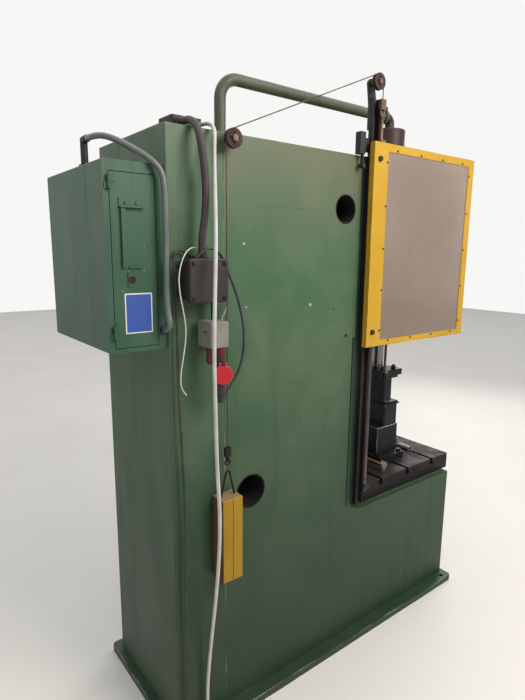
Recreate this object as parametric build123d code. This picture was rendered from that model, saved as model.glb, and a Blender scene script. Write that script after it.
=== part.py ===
"""Single-column hydraulic press with a counterweighted side guard, in millimetres.

A C-shaped frame of two thick side plates carries the cylinder in its head and a slotted
table on its bed. The guard hangs from a wire rope that runs over two pulleys to a weight.
A narrow electrical cabinet hangs on the rear, and its switch and sockets sit on the left side.
The origin is on the floor under the middle of the column. The operator stands at -Y.
"""
import os
from math import atan2, cos, degrees, pi, radians, sin, tan

from build123d import *

# Column and frame
column_width = 500.0
column_depth = 820.0
column_height = 2050.0
side_plate = 25.0
cover_sheet = 3.0
rear_section = 199.0
head_reach = 640.0
head_underside = 1365.0
bed_reach = 740.0
bed_top = 600.0
throat_radius = 80.0
nose_radius = 30.0
head_plate = 60.0
head_roof = 40.0
bed_plate = 40.0
throat_web = 25.0
base_thickness = 30.0
base_margin = 50.0
anchor_hole = 22.0
anchor_inset = 25.0

# Transport holes through the column
upper_hole = 98.0
upper_hole_back = 78.0
upper_hole_drop = 197.0
lower_hole = 118.0
lower_hole_back = 512.0
lower_hole_height = 853.0
tube_wall = 5.0

# Table
throat_depth = 450.0
table_width = 430.0
table_length = 660.0
table_thickness = 78.0
slot_pitch = 195.0
slot_width = 18.0
slot_head_width = 30.0
slot_head_height = 13.0
slot_neck = 18.0

# Cylinder and ram
barrel_diameter = 145.0
cylinder_bore = 100.0
ram_rod = 55.0
barrel_rise = 192.0
barrel_floor = 26.0
piston_height = 70.0
flange_diameter = 190.0
flange_thickness = 14.0
gland_thickness = 16.0
gland_bolt = 10.0
ram_stroke = 160.0
rod_fit = 0.05

# Tooling in the press
tool_plate_width = 170.0
tool_plate_length = 110.0
tool_plate_thickness = 40.0
tool_plate_lug = 30.0
upper_die_width = 150.0
upper_die_length = 54.0
upper_die_height = 118.0
lower_die_width = 160.0
lower_die_length = 98.0
lower_die_height = 103.0
die_plate_thickness = 8.0
die_plate_lip = 5.0
die_block_width = 170.0
die_block_length = 150.0
lower_die_shift = 25.0
die_block_height = 141.0
riser_width = 240.0
riser_length = 180.0
riser_height = 36.0
tool_nut = 22.0
guide_rod_small = 12.0
stop_screw = 16.0
clamp_bar = 27.0
clamp_wall = 5.0

# Pressure pipe and pump set
pipe_diameter = 42.0
pipe_wall = 4.0
pipe_lift = 246.0
pipe_bend = 75.0
pipe_back = 470.0
pipe_gap = 1.5
elbow_leg = 34.0
elbow_bend = 26.0
tank_width = 400.0
tank_depth = 370.0
tank_over_tube = 23.0
tank_wall = 4.0
pump_axis_lift = 120.0
motor_diameter = 180.0
motor_length = 210.0
pump_diameter = 96.0
pump_length = 80.0
coupling_gap = 60.0
drive_shaft = 24.0
coupling_diameter = 70.0
valve_width = 120.0
valve_depth = 110.0
valve_height = 170.0
coil_diameter = 46.0
coil_length = 62.0
coil_drop = 40.0

# Guard rail, guide rod and pulleys
rail_width = 40.0
rail_depth = 20.0
rail_wall = 3.0
rail_offset = 23.0
rail_standoff = 4.0
rail_flange_gap = 2.0
rail_lap = 12.0
bush_wall = 4.0
rail_bottom = 640.0
rail_rise = 205.0
guide_rod = 18.0
guide_rod_gap = 18.0
pulley_diameter = 58.0
pulley_width = 14.0
pulley_groove = 5.3
rope_diameter = 4.0
rope_gap = 0.3
rope_plane = 38.0
axle_diameter = 12.0
axle_collar = 18.0
front_pulley_rise = 50.0
front_pulley_reach = 30.0
rear_pulley_drop = 23.0
rear_pulley_inset = 210.0

# Guard
guard_length = 665.0
guard_height = 773.0
guard_depth = 22.0
guard_sheet = 2.5
guard_under_rail = 156.0
guard_outer = 50.0
guard_rear_edge = 11.0
guard_rear_stile = 81.0
guard_front_stile = 40.0
guard_top_rail = 29.0
guard_bottom_rail = 24.0
pane_thickness = 3.0
mesh_thickness = 2.0
pane_overlap = 12.0
mesh_columns = 2
mesh_rows = 58
mesh_bar = 4.0
screw_diameter = 4.0
big_bolt = 12.0
guard_travel = 450.0
shoe_height = 60.0
running_gap = 0.6

# Counterweight
weight_width = 80.0
weight_thickness = 64.0
weight_height = 300.0
weight_top = 888.0
bail_height = 112.0
bail_wire = 7.0

# Electrical cabinet
cabinet_depth = 180.0
cabinet_length = 496.0
cabinet_drop = 114.0
cabinet_height = 532.0
cabinet_sheet = 2.0
cabinet_setback = 12.0
door_rear_strip = 17.0
door_front_strip = 27.0
door_edge_strip = 13.0
door_top_strip = 30.0
door_gap = 2.0
door_flange = 12.0
hinge_pin = 6.0
hinge_knuckle = 12.0
hinge_height = 36.0
hinge_inset = 60.0
lock_height = 209.0
lock_barrel = 14.0
tray_plate = 3.0
tray_door_gap = 60.0
contactor = 46.0
contactor_height = 72.0

# Switch box, sockets and connector on the left side
switch_width = 125.0
switch_height = 121.0
switch_depth = 85.0
switch_bottom = 1549.0
switch_rear_inset = 31.0
socket_width = 63.0
socket_height = 80.0
socket_depth = 77.0
socket_gap = 25.0
socket_under_switch = 61.0
socket_rear_inset = 86.0
nipple_inset = 40.0
collar_diameter = 30.0
collar_length = 46.0
connector_diameter = 30.0
connector_turn = 20.0
lid_diameter = 60.0
lid_thickness = 8.0

# Cords and the terminal box where two of them start
conduit_diameter = 22.0
white_cable_diameter = 12.0
corner_cable_diameter = 8.0
plug_cable_diameter = 9.0
wire_diameter = 3.5
hose_diameter = 18.0
terminal_inset = 80.0
terminal_rear_inset = 172.0
terminal_width = 90.0
terminal_length = 104.0
terminal_height = 46.0

# Planes that many pieces share
left = -column_width / 2
right = column_width / 2
front = -column_depth / 2
rear = column_depth / 2
seam = rear - rear_section
plate_top = column_height - cover_sheet
bore_y = front - throat_depth
head_nose = front - head_reach
bed_nose = front - bed_reach
inner = column_width / 2 - side_plate
table_top = bed_top + table_thickness
ram_gland_face = head_underside - flange_thickness - gland_thickness

parts = {}


def block(x0, x1, y0, y1, z0, z1):
    """A box between two corners, given axis by axis."""
    size = Box(abs(x1 - x0), abs(y1 - y0), abs(z1 - z0))
    return Pos((x0 + x1) / 2, (y0 + y1) / 2, (z0 + z1) / 2) * size


def rod_x(diameter, x0, x1, y, z):
    """A round bar along X."""
    return Pos((x0 + x1) / 2, y, z) * Rot(0, 90, 0) * Cylinder(diameter / 2, abs(x1 - x0))


def rod_y(diameter, y0, y1, x, z):
    """A round bar along Y."""
    return Pos(x, (y0 + y1) / 2, z) * Rot(90, 0, 0) * Cylinder(diameter / 2, abs(y1 - y0))


def rod_z(diameter, z0, z1, x, y):
    """A round bar along Z."""
    return Pos(x, y, (z0 + z1) / 2) * Cylinder(diameter / 2, abs(z1 - z0))


def hexagon_z(across, z0, z1, x, y):
    """A hexagon nut or bolt head with its axis along Z."""
    flat = RegularPolygon(across / 2, 6, major_radius=False)
    return Pos(x, y, z0) * extrude(flat, z1 - z0)


def hexagon_x(across, x0, x1, y, z):
    """A hexagon nut or bolt head with its axis along X, grown from x0 towards x1."""
    flat = RegularPolygon(across / 2, 6, major_radius=False)
    turn = Rot(0, 90, 0) if x1 > x0 else Rot(0, -90, 0)
    return Pos(x0, y, z) * turn * extrude(flat, abs(x1 - x0))


def plate_x(face, x, thickness):
    """A flat face drawn in Y and Z, grown along X from x."""
    return extrude(Plane.YZ.offset(x) * face, thickness)


def ring_z(outer, bore, z0, z1, x, y):
    """A round collar with a bore, its axis along Z."""
    return rod_z(outer, z0, z1, x, y) - rod_z(bore, z0 - 1, z1 + 1, x, y)


def group(*solids):
    """Separate like solids that share one node."""
    return Compound(children=list(solids))


def corner_radii(points):
    """The largest tangent arc that each corner's two runs allow, at 0.45 of the shorter run."""
    radii = []
    for before, corner, after in zip(points, points[1:], points[2:]):
        run_in = corner - before
        run_out = after - corner
        turn = radians(run_in.get_angle(run_out))
        radii.append(0.45 * min(run_in.length, run_out.length) / tan(turn / 2))
    return radii


def cord(name, diameter, route):
    """A round cord along straight runs joined by tangent arcs."""
    points = [Vector(*p) for p in route]
    radii = corner_radii(points)
    path = FilletPolyline(*points, radius=radii)
    section = Plane(origin=path @ 0, z_dir=path % 0) * Circle(diameter / 2)
    solid = sweep(section, path=path)
    ideal = pi * diameter**2 / 4 * path.length
    print(f"{name}: length {path.length:.0f} mm, volume {solid.volume / ideal:.4f} of section x length,",
          "radii", [round(r) for r in radii])
    return solid


# Frame: side plates, webs, head and bed
def c_profile():
    """The C of the frame in the YZ plane, seen from the left side."""
    outline = Polyline(
        (seam, base_thickness), (seam, plate_top), (head_nose, plate_top),
        (head_nose, head_underside), (front, head_underside), (front, bed_top),
        (bed_nose, bed_top), (bed_nose, base_thickness), close=True)
    face = make_face(outline)
    inside = [v for v in face.vertices() if v.X == front]
    face = fillet(inside, throat_radius)
    nose = [v for v in face.vertices() if v.X == head_nose and v.Y < plate_top]
    return fillet(nose, nose_radius)


upper_hole_y = front + upper_hole_back
lower_hole_y = front + lower_hole_back
upper_hole_height = column_height - upper_hole_drop
hole_places = [(upper_hole, upper_hole_y, upper_hole_height), (lower_hole, lower_hole_y, lower_hole_height)]


def side_plate_at(x):
    """One C plate, its near face at x, with the holes for the two transport tubes."""
    plate = plate_x(c_profile(), x, side_plate)
    for bore, y, z in hole_places:
        plate -= rod_x(bore + 2 * tube_wall, x - 1, x + side_plate + 1, y, z)
    return plate


parts["side_plate_left"] = side_plate_at(left)
parts["side_plate_right"] = side_plate_at(inner)

tubes = []
for bore, y, z in hole_places:
    sleeve = rod_x(bore + 2 * tube_wall, left, right, y, z)
    tubes.append(sleeve - rod_x(bore, left - 1, right + 1, y, z))
parts["transport_tubes"] = group(*tubes)

throat = block(-inner, inner, front, front + throat_web, bed_top, head_underside)
rear_web = block(-inner, inner, seam - throat_web, seam, base_thickness, plate_top)
parts["column_webs"] = group(throat, rear_web)

head = block(-inner, inner, head_nose, front + throat_web, head_underside, head_underside + head_plate)
head += block(-inner, inner, head_nose, head_nose + side_plate, head_underside, plate_top)
head += block(-inner, inner, head_nose, front + throat_web, plate_top - head_roof, plate_top)
head -= rod_z(barrel_diameter + 2 * rod_fit, head_underside - 1, plate_top + 1, 0, bore_y)
parts["head_box"] = head

bed = block(-inner, inner, bed_nose, front, bed_top - bed_plate, bed_top)
bed += block(-inner, inner, bed_nose, bed_nose + side_plate, base_thickness, bed_top)
parts["bed_box"] = bed

base_front = bed_nose - base_margin / 2
base_rear = rear + base_margin / 2
base_side = right + base_margin
base = block(-base_side, base_side, base_front, base_rear, 0, base_thickness)
base = fillet(base.edges().filter_by(Axis.Z), base_thickness / 2)
for x in (-base_side + anchor_inset, base_side - anchor_inset):
    for y in (base_front + 2 * anchor_inset, seam):
        base -= rod_z(anchor_hole, -1, base_thickness + 1, x, y)
parts["base_plate"] = base

# Sheet covers of the rear section and the top
cover_bend = 6.0
cover_joint = 1.0
skin = Rectangle(column_width, rear_section - cover_joint)
skin = fillet(skin.vertices().group_by(Axis.Y)[-1], cover_bend)
hollow = Rectangle(column_width - 2 * cover_sheet, rear_section)
hollow = fillet(hollow.vertices().group_by(Axis.Y)[-1], cover_bend - cover_sheet)
shell = skin - Pos(0, -cover_sheet) * hollow
rear_height = plate_top - base_thickness
shell_y = seam + (rear_section + cover_joint) / 2
parts["rear_cover"] = Pos(0, shell_y, base_thickness) * extrude(shell, rear_height)

pipe_y = front + pipe_back
roof = block(left, right, head_nose, rear, plate_top, column_height)
roof = fillet(roof.edges().filter_by(Axis.Z), cover_bend)
roof -= rod_z(barrel_diameter + 2 * rod_fit, plate_top - 1, column_height + 1, 0, bore_y)
roof -= rod_z(pipe_diameter + 2 * pipe_gap, plate_top - 1, column_height + 1, 0, pipe_y)
parts["top_cover"] = roof

# Table with T-slots across the press
table = block(-table_width / 2, table_width / 2, bore_y - table_length / 2, bore_y + table_length / 2,
              bed_top, table_top)
table = chamfer(table.edges().group_by(Axis.Z)[-1], 2)
for step in (-1, 0, 1):
    y = bore_y + step * slot_pitch
    reach = table_width / 2 + 1
    neck_z0 = table_top - slot_neck
    table -= block(-reach, reach, y - slot_width / 2, y + slot_width / 2, neck_z0, table_top + 1)
    head_top = table_top - slot_neck
    table -= block(-reach, reach, y - slot_head_width / 2, y + slot_head_width / 2,
                   head_top - slot_head_height, head_top)
parts["table"] = table

# Cylinder barrel with its foot flange, and the gland that closes it
barrel_top = column_height + barrel_rise
barrel = rod_z(barrel_diameter, head_underside, barrel_top, 0, bore_y)
barrel += rod_z(flange_diameter, head_underside - flange_thickness, head_underside, 0, bore_y)
barrel -= rod_z(cylinder_bore, head_underside - flange_thickness - 1, barrel_top - barrel_floor, 0, bore_y)
top_rim = barrel.edges().filter_by(GeomType.CIRCLE).group_by(Axis.Z)[-1]
parts["cylinder_barrel"] = chamfer(top_rim, 3)

gland = rod_z(flange_diameter, ram_gland_face, ram_gland_face + gland_thickness, 0, bore_y)
gland -= rod_z(ram_rod + 2 * rod_fit, ram_gland_face - 1, head_underside, 0, bore_y)
bolt_circle = (barrel_diameter + flange_diameter) / 4 + 4
for k in range(8):
    turn = 2 * pi * (k + 0.5) / 8
    x = bolt_circle * cos(turn)
    y = bore_y + bolt_circle * sin(turn)
    gland += rod_z(gland_bolt * 1.6, ram_gland_face - gland_bolt, ram_gland_face, x, y)
parts["cylinder_gland"] = gland

# Tooling stack: riser, die block and lower die on the table, then what the ram carries
riser_top = table_top + riser_height
die_block_top = riser_top + die_block_height
lower_die_top = die_block_top + lower_die_height
die_plates_top = lower_die_top + 2 * die_plate_thickness
upper_die_bottom = die_plates_top + 4
tool_plate_bottom = upper_die_bottom + upper_die_height
tool_plate_top = tool_plate_bottom + tool_plate_thickness


def centred(width, length, z0, z1):
    """A block centred on the cylinder's axis."""
    return block(-width / 2, width / 2, bore_y - length / 2, bore_y + length / 2, z0, z1)


riser = centred(riser_width, riser_length, table_top, riser_top)
for x in (-riser_width / 2 + 18, riser_width / 2 - 18):
    for y in (bore_y - riser_length / 2 + 18, bore_y + riser_length / 2 - 18):
        riser += hexagon_z(tool_nut, riser_top, riser_top + 12, x, y)
parts["riser_plate"] = riser

die_block = centred(die_block_width, die_block_length, riser_top, die_block_top)
parts["die_block"] = chamfer(die_block.edges().filter_by(Axis.Z) + die_block.edges().group_by(Axis.Z)[-1], 3)

lower_die = centred(lower_die_width, lower_die_length, die_block_top, lower_die_top)
lower_die = chamfer(lower_die.edges().filter_by(Axis.Z), 7)
for level in (0, 1):
    low = lower_die_top + level * die_plate_thickness
    lip = die_plate_lip * (1 - level)
    high = low + die_plate_thickness - 1
    lower_die += centred(lower_die_width + 2 * lip, lower_die_length + 2 * lip, low, high)
    lower_die += centred(lower_die_width - 6, lower_die_length - 6, low, low + die_plate_thickness)
parts["lower_die"] = Pos(0, -lower_die_shift, 0) * lower_die

upper_die = centred(upper_die_width, upper_die_length, upper_die_bottom, tool_plate_bottom)
upper_die = chamfer(upper_die.edges().filter_by(Axis.Z), 4)
upper_die += centred(upper_die_width * 0.8, upper_die_length + 30, tool_plate_bottom - 12, tool_plate_bottom)
parts["upper_die"] = upper_die

# The ear at the rear left corner of the tool plate holds the thin rod that keeps the ram from turning
ear_x = -tool_plate_width / 2 - guide_rod_small
ear_y = bore_y + tool_plate_length / 2 + guide_rod_small * 0.6
ear_radius = guide_rod_small * 1.3
plate_front = bore_y - tool_plate_length / 2
tool_plate = centred(tool_plate_width, tool_plate_length, tool_plate_bottom, tool_plate_top)
tool_plate += block(-tool_plate_width / 2, tool_plate_width / 2, plate_front - tool_plate_lug, plate_front,
                    tool_plate_bottom + 10, tool_plate_top)
tool_plate += rod_z(2 * ear_radius, tool_plate_bottom + 10, tool_plate_top, ear_x, ear_y)
tool_plate += block(ear_x, -tool_plate_width / 2 + 1, ear_y - ear_radius, bore_y + tool_plate_length / 2,
                    tool_plate_bottom + 10, tool_plate_top)
nut_x = tool_plate_width / 2 - tool_nut * 0.75
nut_y = tool_plate_length / 2 - tool_nut * 0.7
for x in (-nut_x, nut_x):
    for y in (bore_y - nut_y, bore_y + nut_y):
        tool_plate += hexagon_z(tool_nut, tool_plate_top, tool_plate_top + tool_nut * 0.7, x, y)
        tool_plate += rod_z(tool_nut * 0.55, tool_plate_top, tool_plate_top + tool_nut, x, y)
parts["tool_plate"] = tool_plate

rod_top = head_underside + head_plate + ram_stroke / 2
piston_top = rod_top + piston_height
piston_fit = 0.05
ram = rod_z(ram_rod, tool_plate_top, rod_top, 0, bore_y)
ram += rod_z(cylinder_bore - 2 * piston_fit, rod_top, piston_top, 0, bore_y)
for seal in (0.3, 0.6):
    z = rod_top + seal * piston_height
    ram -= ring_z(cylinder_bore + 2, cylinder_bore - 8, z, z + 6, 0, bore_y)
parts["piston_rod"] = ram

anti_top = head_underside + head_plate * 0.8
anti_bore = guide_rod_small + 2 * rod_fit
parts["anti_turn_rod"] = rod_z(guide_rod_small, tool_plate_top, anti_top - ram_stroke / 4, ear_x, ear_y)
parts["head_box"] -= rod_z(anti_bore, head_underside - 1, plate_top - head_roof - 1, ear_x, ear_y)

# Side stop on the table: a post behind the die, with two long screws that point to the left
stop_y = bore_y + riser_length / 2 + 30
stop_height = 46.0
screw_end = -table_width / 2 + 50
stop = block(-30, 10, stop_y - 18, stop_y + 18, table_top, table_top + stop_height)
stop += rod_x(stop_screw, screw_end, -30, stop_y, table_top + 28)
stop += hexagon_x(stop_screw * 2.3, screw_end - 8, screw_end + 8, stop_y, table_top + 28)
stop += block(screw_end - 4, -30, stop_y - 12, stop_y + 12, table_top, table_top + 9)
stop += block(screw_end - 4, screw_end + 4, stop_y - 12, stop_y + 12, table_top, table_top + 28)

# Clamp bar that lies across the table in front of the die, held by a stud in the front slot
clamp_y = bore_y - slot_pitch
clamp_seat = 0.3
clamp_z = table_top + (clamp_bar**2 - slot_width**2)**0.5 / 2 + clamp_seat
clamp_top = clamp_z + clamp_bar / 2
clamp = rod_x(clamp_bar, -82, 60, clamp_y, clamp_z)
clamp = chamfer(clamp.edges().filter_by(GeomType.CIRCLE), 1.5)
clamp -= rod_x(clamp_bar - 2 * clamp_wall, -83, 61, clamp_y, clamp_z)
clamp += rod_z(10, clamp_z, clamp_top + 22, 0, clamp_y)
clamp += hexagon_z(17, clamp_top - 1, clamp_top + 10, 0, clamp_y)
parts["table_clamps"] = group(stop, clamp)

# Round elbow on the cylinder and the green pressure pipe to the valve block
pipe_z = column_height + pipe_lift
elbow_path = FilletPolyline(
    (0, bore_y, barrel_top), (0, bore_y, pipe_z), (0, bore_y + elbow_leg, pipe_z), radius=elbow_bend)
elbow = sweep(Pos(0, bore_y, barrel_top) * Circle(pipe_diameter / 2), path=elbow_path)
elbow += hexagon_z(pipe_diameter + 10, barrel_top, barrel_top + 12, 0, bore_y)
parts["pipe_elbow"] = elbow

valve_y0 = pipe_y - valve_depth / 2
tank_top = lower_hole_height + lower_hole / 2 + tube_wall + tank_over_tube
shaft_z = tank_top + pump_axis_lift
valve_z0 = shaft_z - valve_height / 2
valve_z1 = valve_z0 + valve_height
pipe_path = FilletPolyline(
    (0, bore_y + elbow_leg, pipe_z), (0, pipe_y, pipe_z), (0, pipe_y, valve_z1), radius=pipe_bend)
pipe_end = Plane(origin=pipe_path @ 0, z_dir=pipe_path % 0)
pipe = sweep(pipe_end * Circle(pipe_diameter / 2), path=pipe_path)
pipe -= sweep(pipe_end * Circle(pipe_diameter / 2 - pipe_wall), path=pipe_path)
nut_ring = 8.0
pipe_nut = pipe_diameter + 2 * nut_ring
pipe += ring_z(pipe_nut, pipe_diameter - pipe_wall, valve_z1, valve_z1 + 3 * nut_ring, 0, pipe_y)
flange_y = bore_y + elbow_leg
collar = rod_y(pipe_diameter + 2 * nut_ring, flange_y, flange_y + 2 * nut_ring, 0, pipe_z)
pipe += collar - rod_y(pipe_diameter - pipe_wall, flange_y - 1, flange_y + 2 * nut_ring + 1, 0, pipe_z)
parts["pressure_pipe"] = pipe

# Oil tank in the column, with motor, coupling, pump and valve block in line on its lid
tank_y0 = front + throat_web + 20
tank = block(-tank_width / 2, tank_width / 2, tank_y0, tank_y0 + tank_depth, base_thickness, tank_top)
tank = fillet(tank.edges().filter_by(Axis.Z), 12)
tank -= block(-tank_width / 2 + tank_wall, tank_width / 2 - tank_wall, tank_y0 + tank_wall,
              tank_y0 + tank_depth - tank_wall, base_thickness + tank_wall, tank_top - tank_wall)
tank_cap = rod_z(60, tank_top, tank_top + 26, tank_width / 2 - 60, tank_y0 + 60)
parts["oil_tank"] = tank + tank_cap

pump_y1 = valve_y0
pump_y0 = pump_y1 - pump_length
motor_y1 = pump_y0 - coupling_gap
motor_y0 = motor_y1 - motor_length
feet_width = motor_diameter * 0.8
motor = rod_y(motor_diameter, motor_y0, motor_y1, 0, shaft_z)
fins = 10
for k in range(fins):
    turn = pi * (k + 0.5) / fins
    fin = block(-motor_diameter / 2 - 6, motor_diameter / 2 + 6, motor_y0 + 25, motor_y1 - 20, -2, 2)
    motor += Pos(0, 0, shaft_z) * Rot(0, degrees(turn), 0) * fin
feet_z1 = shaft_z - motor_diameter / 3
motor += block(-feet_width / 2, feet_width / 2, motor_y0 + 30, motor_y1 - 30, tank_top, feet_z1)
lead_z0 = shaft_z + motor_diameter / 3
lead_z1 = shaft_z + motor_diameter / 2 + 40
motor += block(-45, 45, motor_y0 + 60, motor_y1 - 60, lead_z0, lead_z1)
motor -= rod_y(drive_shaft + 2 * rod_fit, motor_y0 + 10, motor_y1 + 1, 0, shaft_z)
parts["motor"] = motor

pump = rod_y(pump_diameter, pump_y0, pump_y1, 0, shaft_z)
pump += block(-34, 34, pump_y0 + 10, pump_y1 - 10, tank_top, shaft_z)
pump -= rod_y(drive_shaft + 2 * rod_fit, pump_y0 - 1, pump_y1 - 20, 0, shaft_z)
parts["pump"] = pump

shaft = rod_y(drive_shaft, motor_y0 + 20, pump_y1 - 24, 0, shaft_z)
half = coupling_gap / 2 - 4
for start in (motor_y1 + 3, motor_y1 + 5 + half):
    shaft += rod_y(coupling_diameter, start, start + half - 4, 0, shaft_z)
spider_y0 = motor_y1 + half - 4
spider_reach = coupling_diameter / 3
shaft += block(-spider_reach, spider_reach, spider_y0, spider_y0 + 14, shaft_z - 10, shaft_z + 10)
parts["drive_shaft"] = shaft

valve = block(-valve_width / 2, valve_width / 2, valve_y0, valve_y0 + valve_depth, valve_z0, valve_z1)
for side in (-1, 1):
    coil_x = side * valve_width / 2
    valve += rod_x(coil_diameter, coil_x, coil_x + side * coil_length, pipe_y, valve_z1 - coil_drop)
parts["valve_block"] = valve

# Guard rail: a channel open to the left, carried in front of the column's corner
rail_y1 = front - rail_offset
rail_y0 = rail_y1 - rail_width
rail_x1 = left - rail_standoff
rail_x0 = rail_x1 - rail_depth
rail_top = column_height + rail_rise
front_pulley_height = rail_top + front_pulley_rise
rear_pulley_height = column_height - rear_pulley_drop
rail = block(rail_x0, rail_x1, rail_y0, rail_y1, rail_bottom, rail_top)
rail -= block(rail_x0 - 1, rail_x1 - rail_wall, rail_y0 + rail_wall, rail_y1 - rail_wall,
              rail_bottom - 1, rail_top + 1)
rail += block(rail_x1, left, rail_y0, front - rail_flange_gap, rail_bottom, column_height)
rail += block(rail_x1, left, rail_y0, front + rail_lap, rail_bottom, head_underside)
throat_top = head_underside - throat_radius
for z in (rail_bottom + 70, throat_top - 80):
    rail += block(left, left + side_plate / 2, rail_y0 + rail_wall, front, z, z + 50)
rod_x_place = rail_x0 + 10.0
rod_y_place = rail_y0 - guide_rod_gap
bracket_depth = 8.0
rod_grip = guide_rod / 2 + 7
for z in (rail_bottom + 60, rail_top - 40):
    ear = block(rod_x_place - rod_grip, rail_x1, rod_y_place - rod_grip, rail_y0, z, z + bracket_depth * 2)
    rail += ear - rod_z(guide_rod + 2 * rod_fit, z - 1, z + bracket_depth * 2 + 1, rod_x_place, rod_y_place)
parts["guide_rod"] = rod_z(guide_rod, rail_bottom + 50, rail_top - 40 + bracket_depth * 2 + 8,
                           rod_x_place, rod_y_place)

# Pulleys, their bracket and axles, all in the plane of the rope
rope_x = left - rope_plane
front_pulley_y = front - front_pulley_reach
rear_pulley_y = rear - rear_pulley_inset
groove_floor = pulley_diameter / 2 - pulley_groove
rope_radius = groove_floor + rope_gap + rope_diameter / 2
bracket_x1 = rail_x1 + bracket_depth
axle_bore = axle_diameter + 2 * rod_fit

bracket_face = make_face(Polyline(
    (rail_y0, rail_top - 110), (rail_y1, rail_top - 110), (rail_y1, rail_top - 20),
    (front_pulley_y + axle_collar, front_pulley_height), (front_pulley_y - axle_collar, front_pulley_height),
    (rail_y0, rail_top - 20), close=True))
bracket_face += Pos(front_pulley_y, front_pulley_height) * Circle(axle_collar)
rail += plate_x(bracket_face, rail_x1, bracket_depth)
parts["guard_rail"] = rail


def pulley_at(y, z):
    """A grooved wheel turning about X in the rope's plane."""
    half_width = pulley_width / 2
    rim = pulley_diameter / 2
    lip = half_width - 1.5
    bottom = rope_diameter / 2 + 0.4
    profile = make_face(Polyline(
        (axle_bore / 2, -half_width), (rim, -half_width), (rim, -lip), (groove_floor, -bottom),
        (groove_floor, bottom), (rim, lip), (rim, half_width), (axle_bore / 2, half_width), close=True))
    wheel = revolve(Plane.XZ * profile, Axis.Z)
    holes = 4
    for k in range(holes):
        turn = 2 * pi * k / holes
        middle = (groove_floor + axle_bore / 2) / 2
        wheel -= rod_z(5, -pulley_width, pulley_width, middle * cos(turn), middle * sin(turn))
    return Pos(rope_x, y, z) * Rot(0, 90, 0) * wheel


parts["front_pulley"] = pulley_at(front_pulley_y, front_pulley_height)
parts["rear_pulley"] = pulley_at(rear_pulley_y, rear_pulley_height)

side_play = 0.4
cap_length = 5.0
axles = []
for y, z, wall in ((front_pulley_y, front_pulley_height, rail_x1), (rear_pulley_y, rear_pulley_height, left)):
    face = rope_x + pulley_width / 2 + side_play
    outside = rope_x - pulley_width / 2 - side_play
    axle = rod_x(axle_diameter, outside - cap_length, wall, y, z)
    axle += rod_x(axle_collar, face, wall, y, z)
    axle += hexagon_x(axle_collar, outside, outside - cap_length, y, z)
    axles.append(axle)
parts["pulley_axles"] = group(*axles)

# Wire rope: its two upright ends and the stretch over both pulleys
run = Vector(rope_x, rear_pulley_y - front_pulley_y, rear_pulley_height - front_pulley_height)
slope = atan2(rear_pulley_height - front_pulley_height, rear_pulley_y - front_pulley_y)
drop_y = front_pulley_y - rope_radius
weight_y = rear_pulley_y + rope_radius
lift = Vector(0, -sin(slope) * rope_radius, cos(slope) * rope_radius)


def slant_height(y):
    """Height of the slanting rope's centre line above y, on the tangent over both pulleys."""
    return front_pulley_height + lift.Z + (y - front_pulley_y - lift.Y) * tan(slope)


over = FilletPolyline(
    (rope_x, drop_y, front_pulley_height), (rope_x, drop_y, slant_height(drop_y)),
    (rope_x, weight_y, slant_height(weight_y)), (rope_x, weight_y, rear_pulley_height),
    radius=rope_radius - 0.001)
over_section = Plane(origin=over @ 0, z_dir=over % 0) * Circle(rope_diameter / 2)
parts["rope_over_pulleys"] = sweep(over_section, path=over)

guard_top = rail_top - guard_under_rail
guard_bottom = guard_top - guard_height
clamp_height = 32.0
hanger_height = 118.0
guard_clamp_z = guard_top + hanger_height
clamp_z1 = guard_clamp_z + clamp_height
parts["rope_to_guard"] = rod_z(rope_diameter, clamp_z1, front_pulley_height, rope_x, drop_y)
weight_clamp_z = weight_top + bail_height + 27
parts["rope_to_weight"] = rod_z(rope_diameter, weight_clamp_z + clamp_height, rear_pulley_height,
                                rope_x, weight_y)

# Guard: folded frame, clear pane, mesh behind it, screws, guides and hanger
guard_x0 = left - guard_outer
guard_x1 = guard_x0 + guard_depth
guard_y1 = front - guard_rear_edge
guard_y0 = guard_y1 - guard_length
window_y1 = guard_y1 - guard_rear_stile
window_y0 = guard_y0 + guard_front_stile
window_z0 = guard_bottom + guard_bottom_rail
window_z1 = guard_top - guard_top_rail
pane_x0 = guard_x0 + guard_sheet
mesh_x0 = pane_x0 + pane_thickness
mesh_x1 = mesh_x0 + mesh_thickness

inset = pane_overlap / 2
screw_places = []
for k in range(4):
    y = window_y0 + (window_y1 - window_y0) * (k + 0.35) / 3.7
    screw_places += [(y, window_z1 + inset), (y, window_z0 - inset)]
for k in range(5):
    z = window_z0 + (window_z1 - window_z0) * (k + 0.25) / 4.5
    screw_places += [(window_y0 - inset, z), (window_y1 + inset, z)]
shoe_heights = [guard_bottom + shoe_height, guard_top - shoe_height]


def window_sheet(x0, x1):
    """A flat sheet behind the guard's window, with clearance holes for its screws."""
    sheet = block(x0, x1, window_y0 - pane_overlap, window_y1 + pane_overlap,
                  window_z0 - pane_overlap, window_z1 + pane_overlap)
    for y, z in screw_places:
        sheet -= rod_x(screw_diameter + 0.4, x0 - 1, x1 + 1, y, z)
    return sheet


frame = block(guard_x0, guard_x1, guard_y0, guard_y1, guard_bottom, guard_top)
frame -= block(guard_x0 + guard_sheet, guard_x1 + 1, guard_y0 + guard_sheet, guard_y1 - guard_sheet,
               guard_bottom + guard_sheet, guard_top - guard_sheet)
frame -= block(guard_x0 - 1, guard_x1, window_y0, window_y1, window_z0, window_z1)
for y, z in screw_places:
    frame -= rod_x(screw_diameter + 0.4, guard_x0 - 1, guard_x0 + guard_sheet + 1, y, z)
parts["guard_frame"] = frame
parts["guard_pane"] = window_sheet(pane_x0, mesh_x0)

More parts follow.
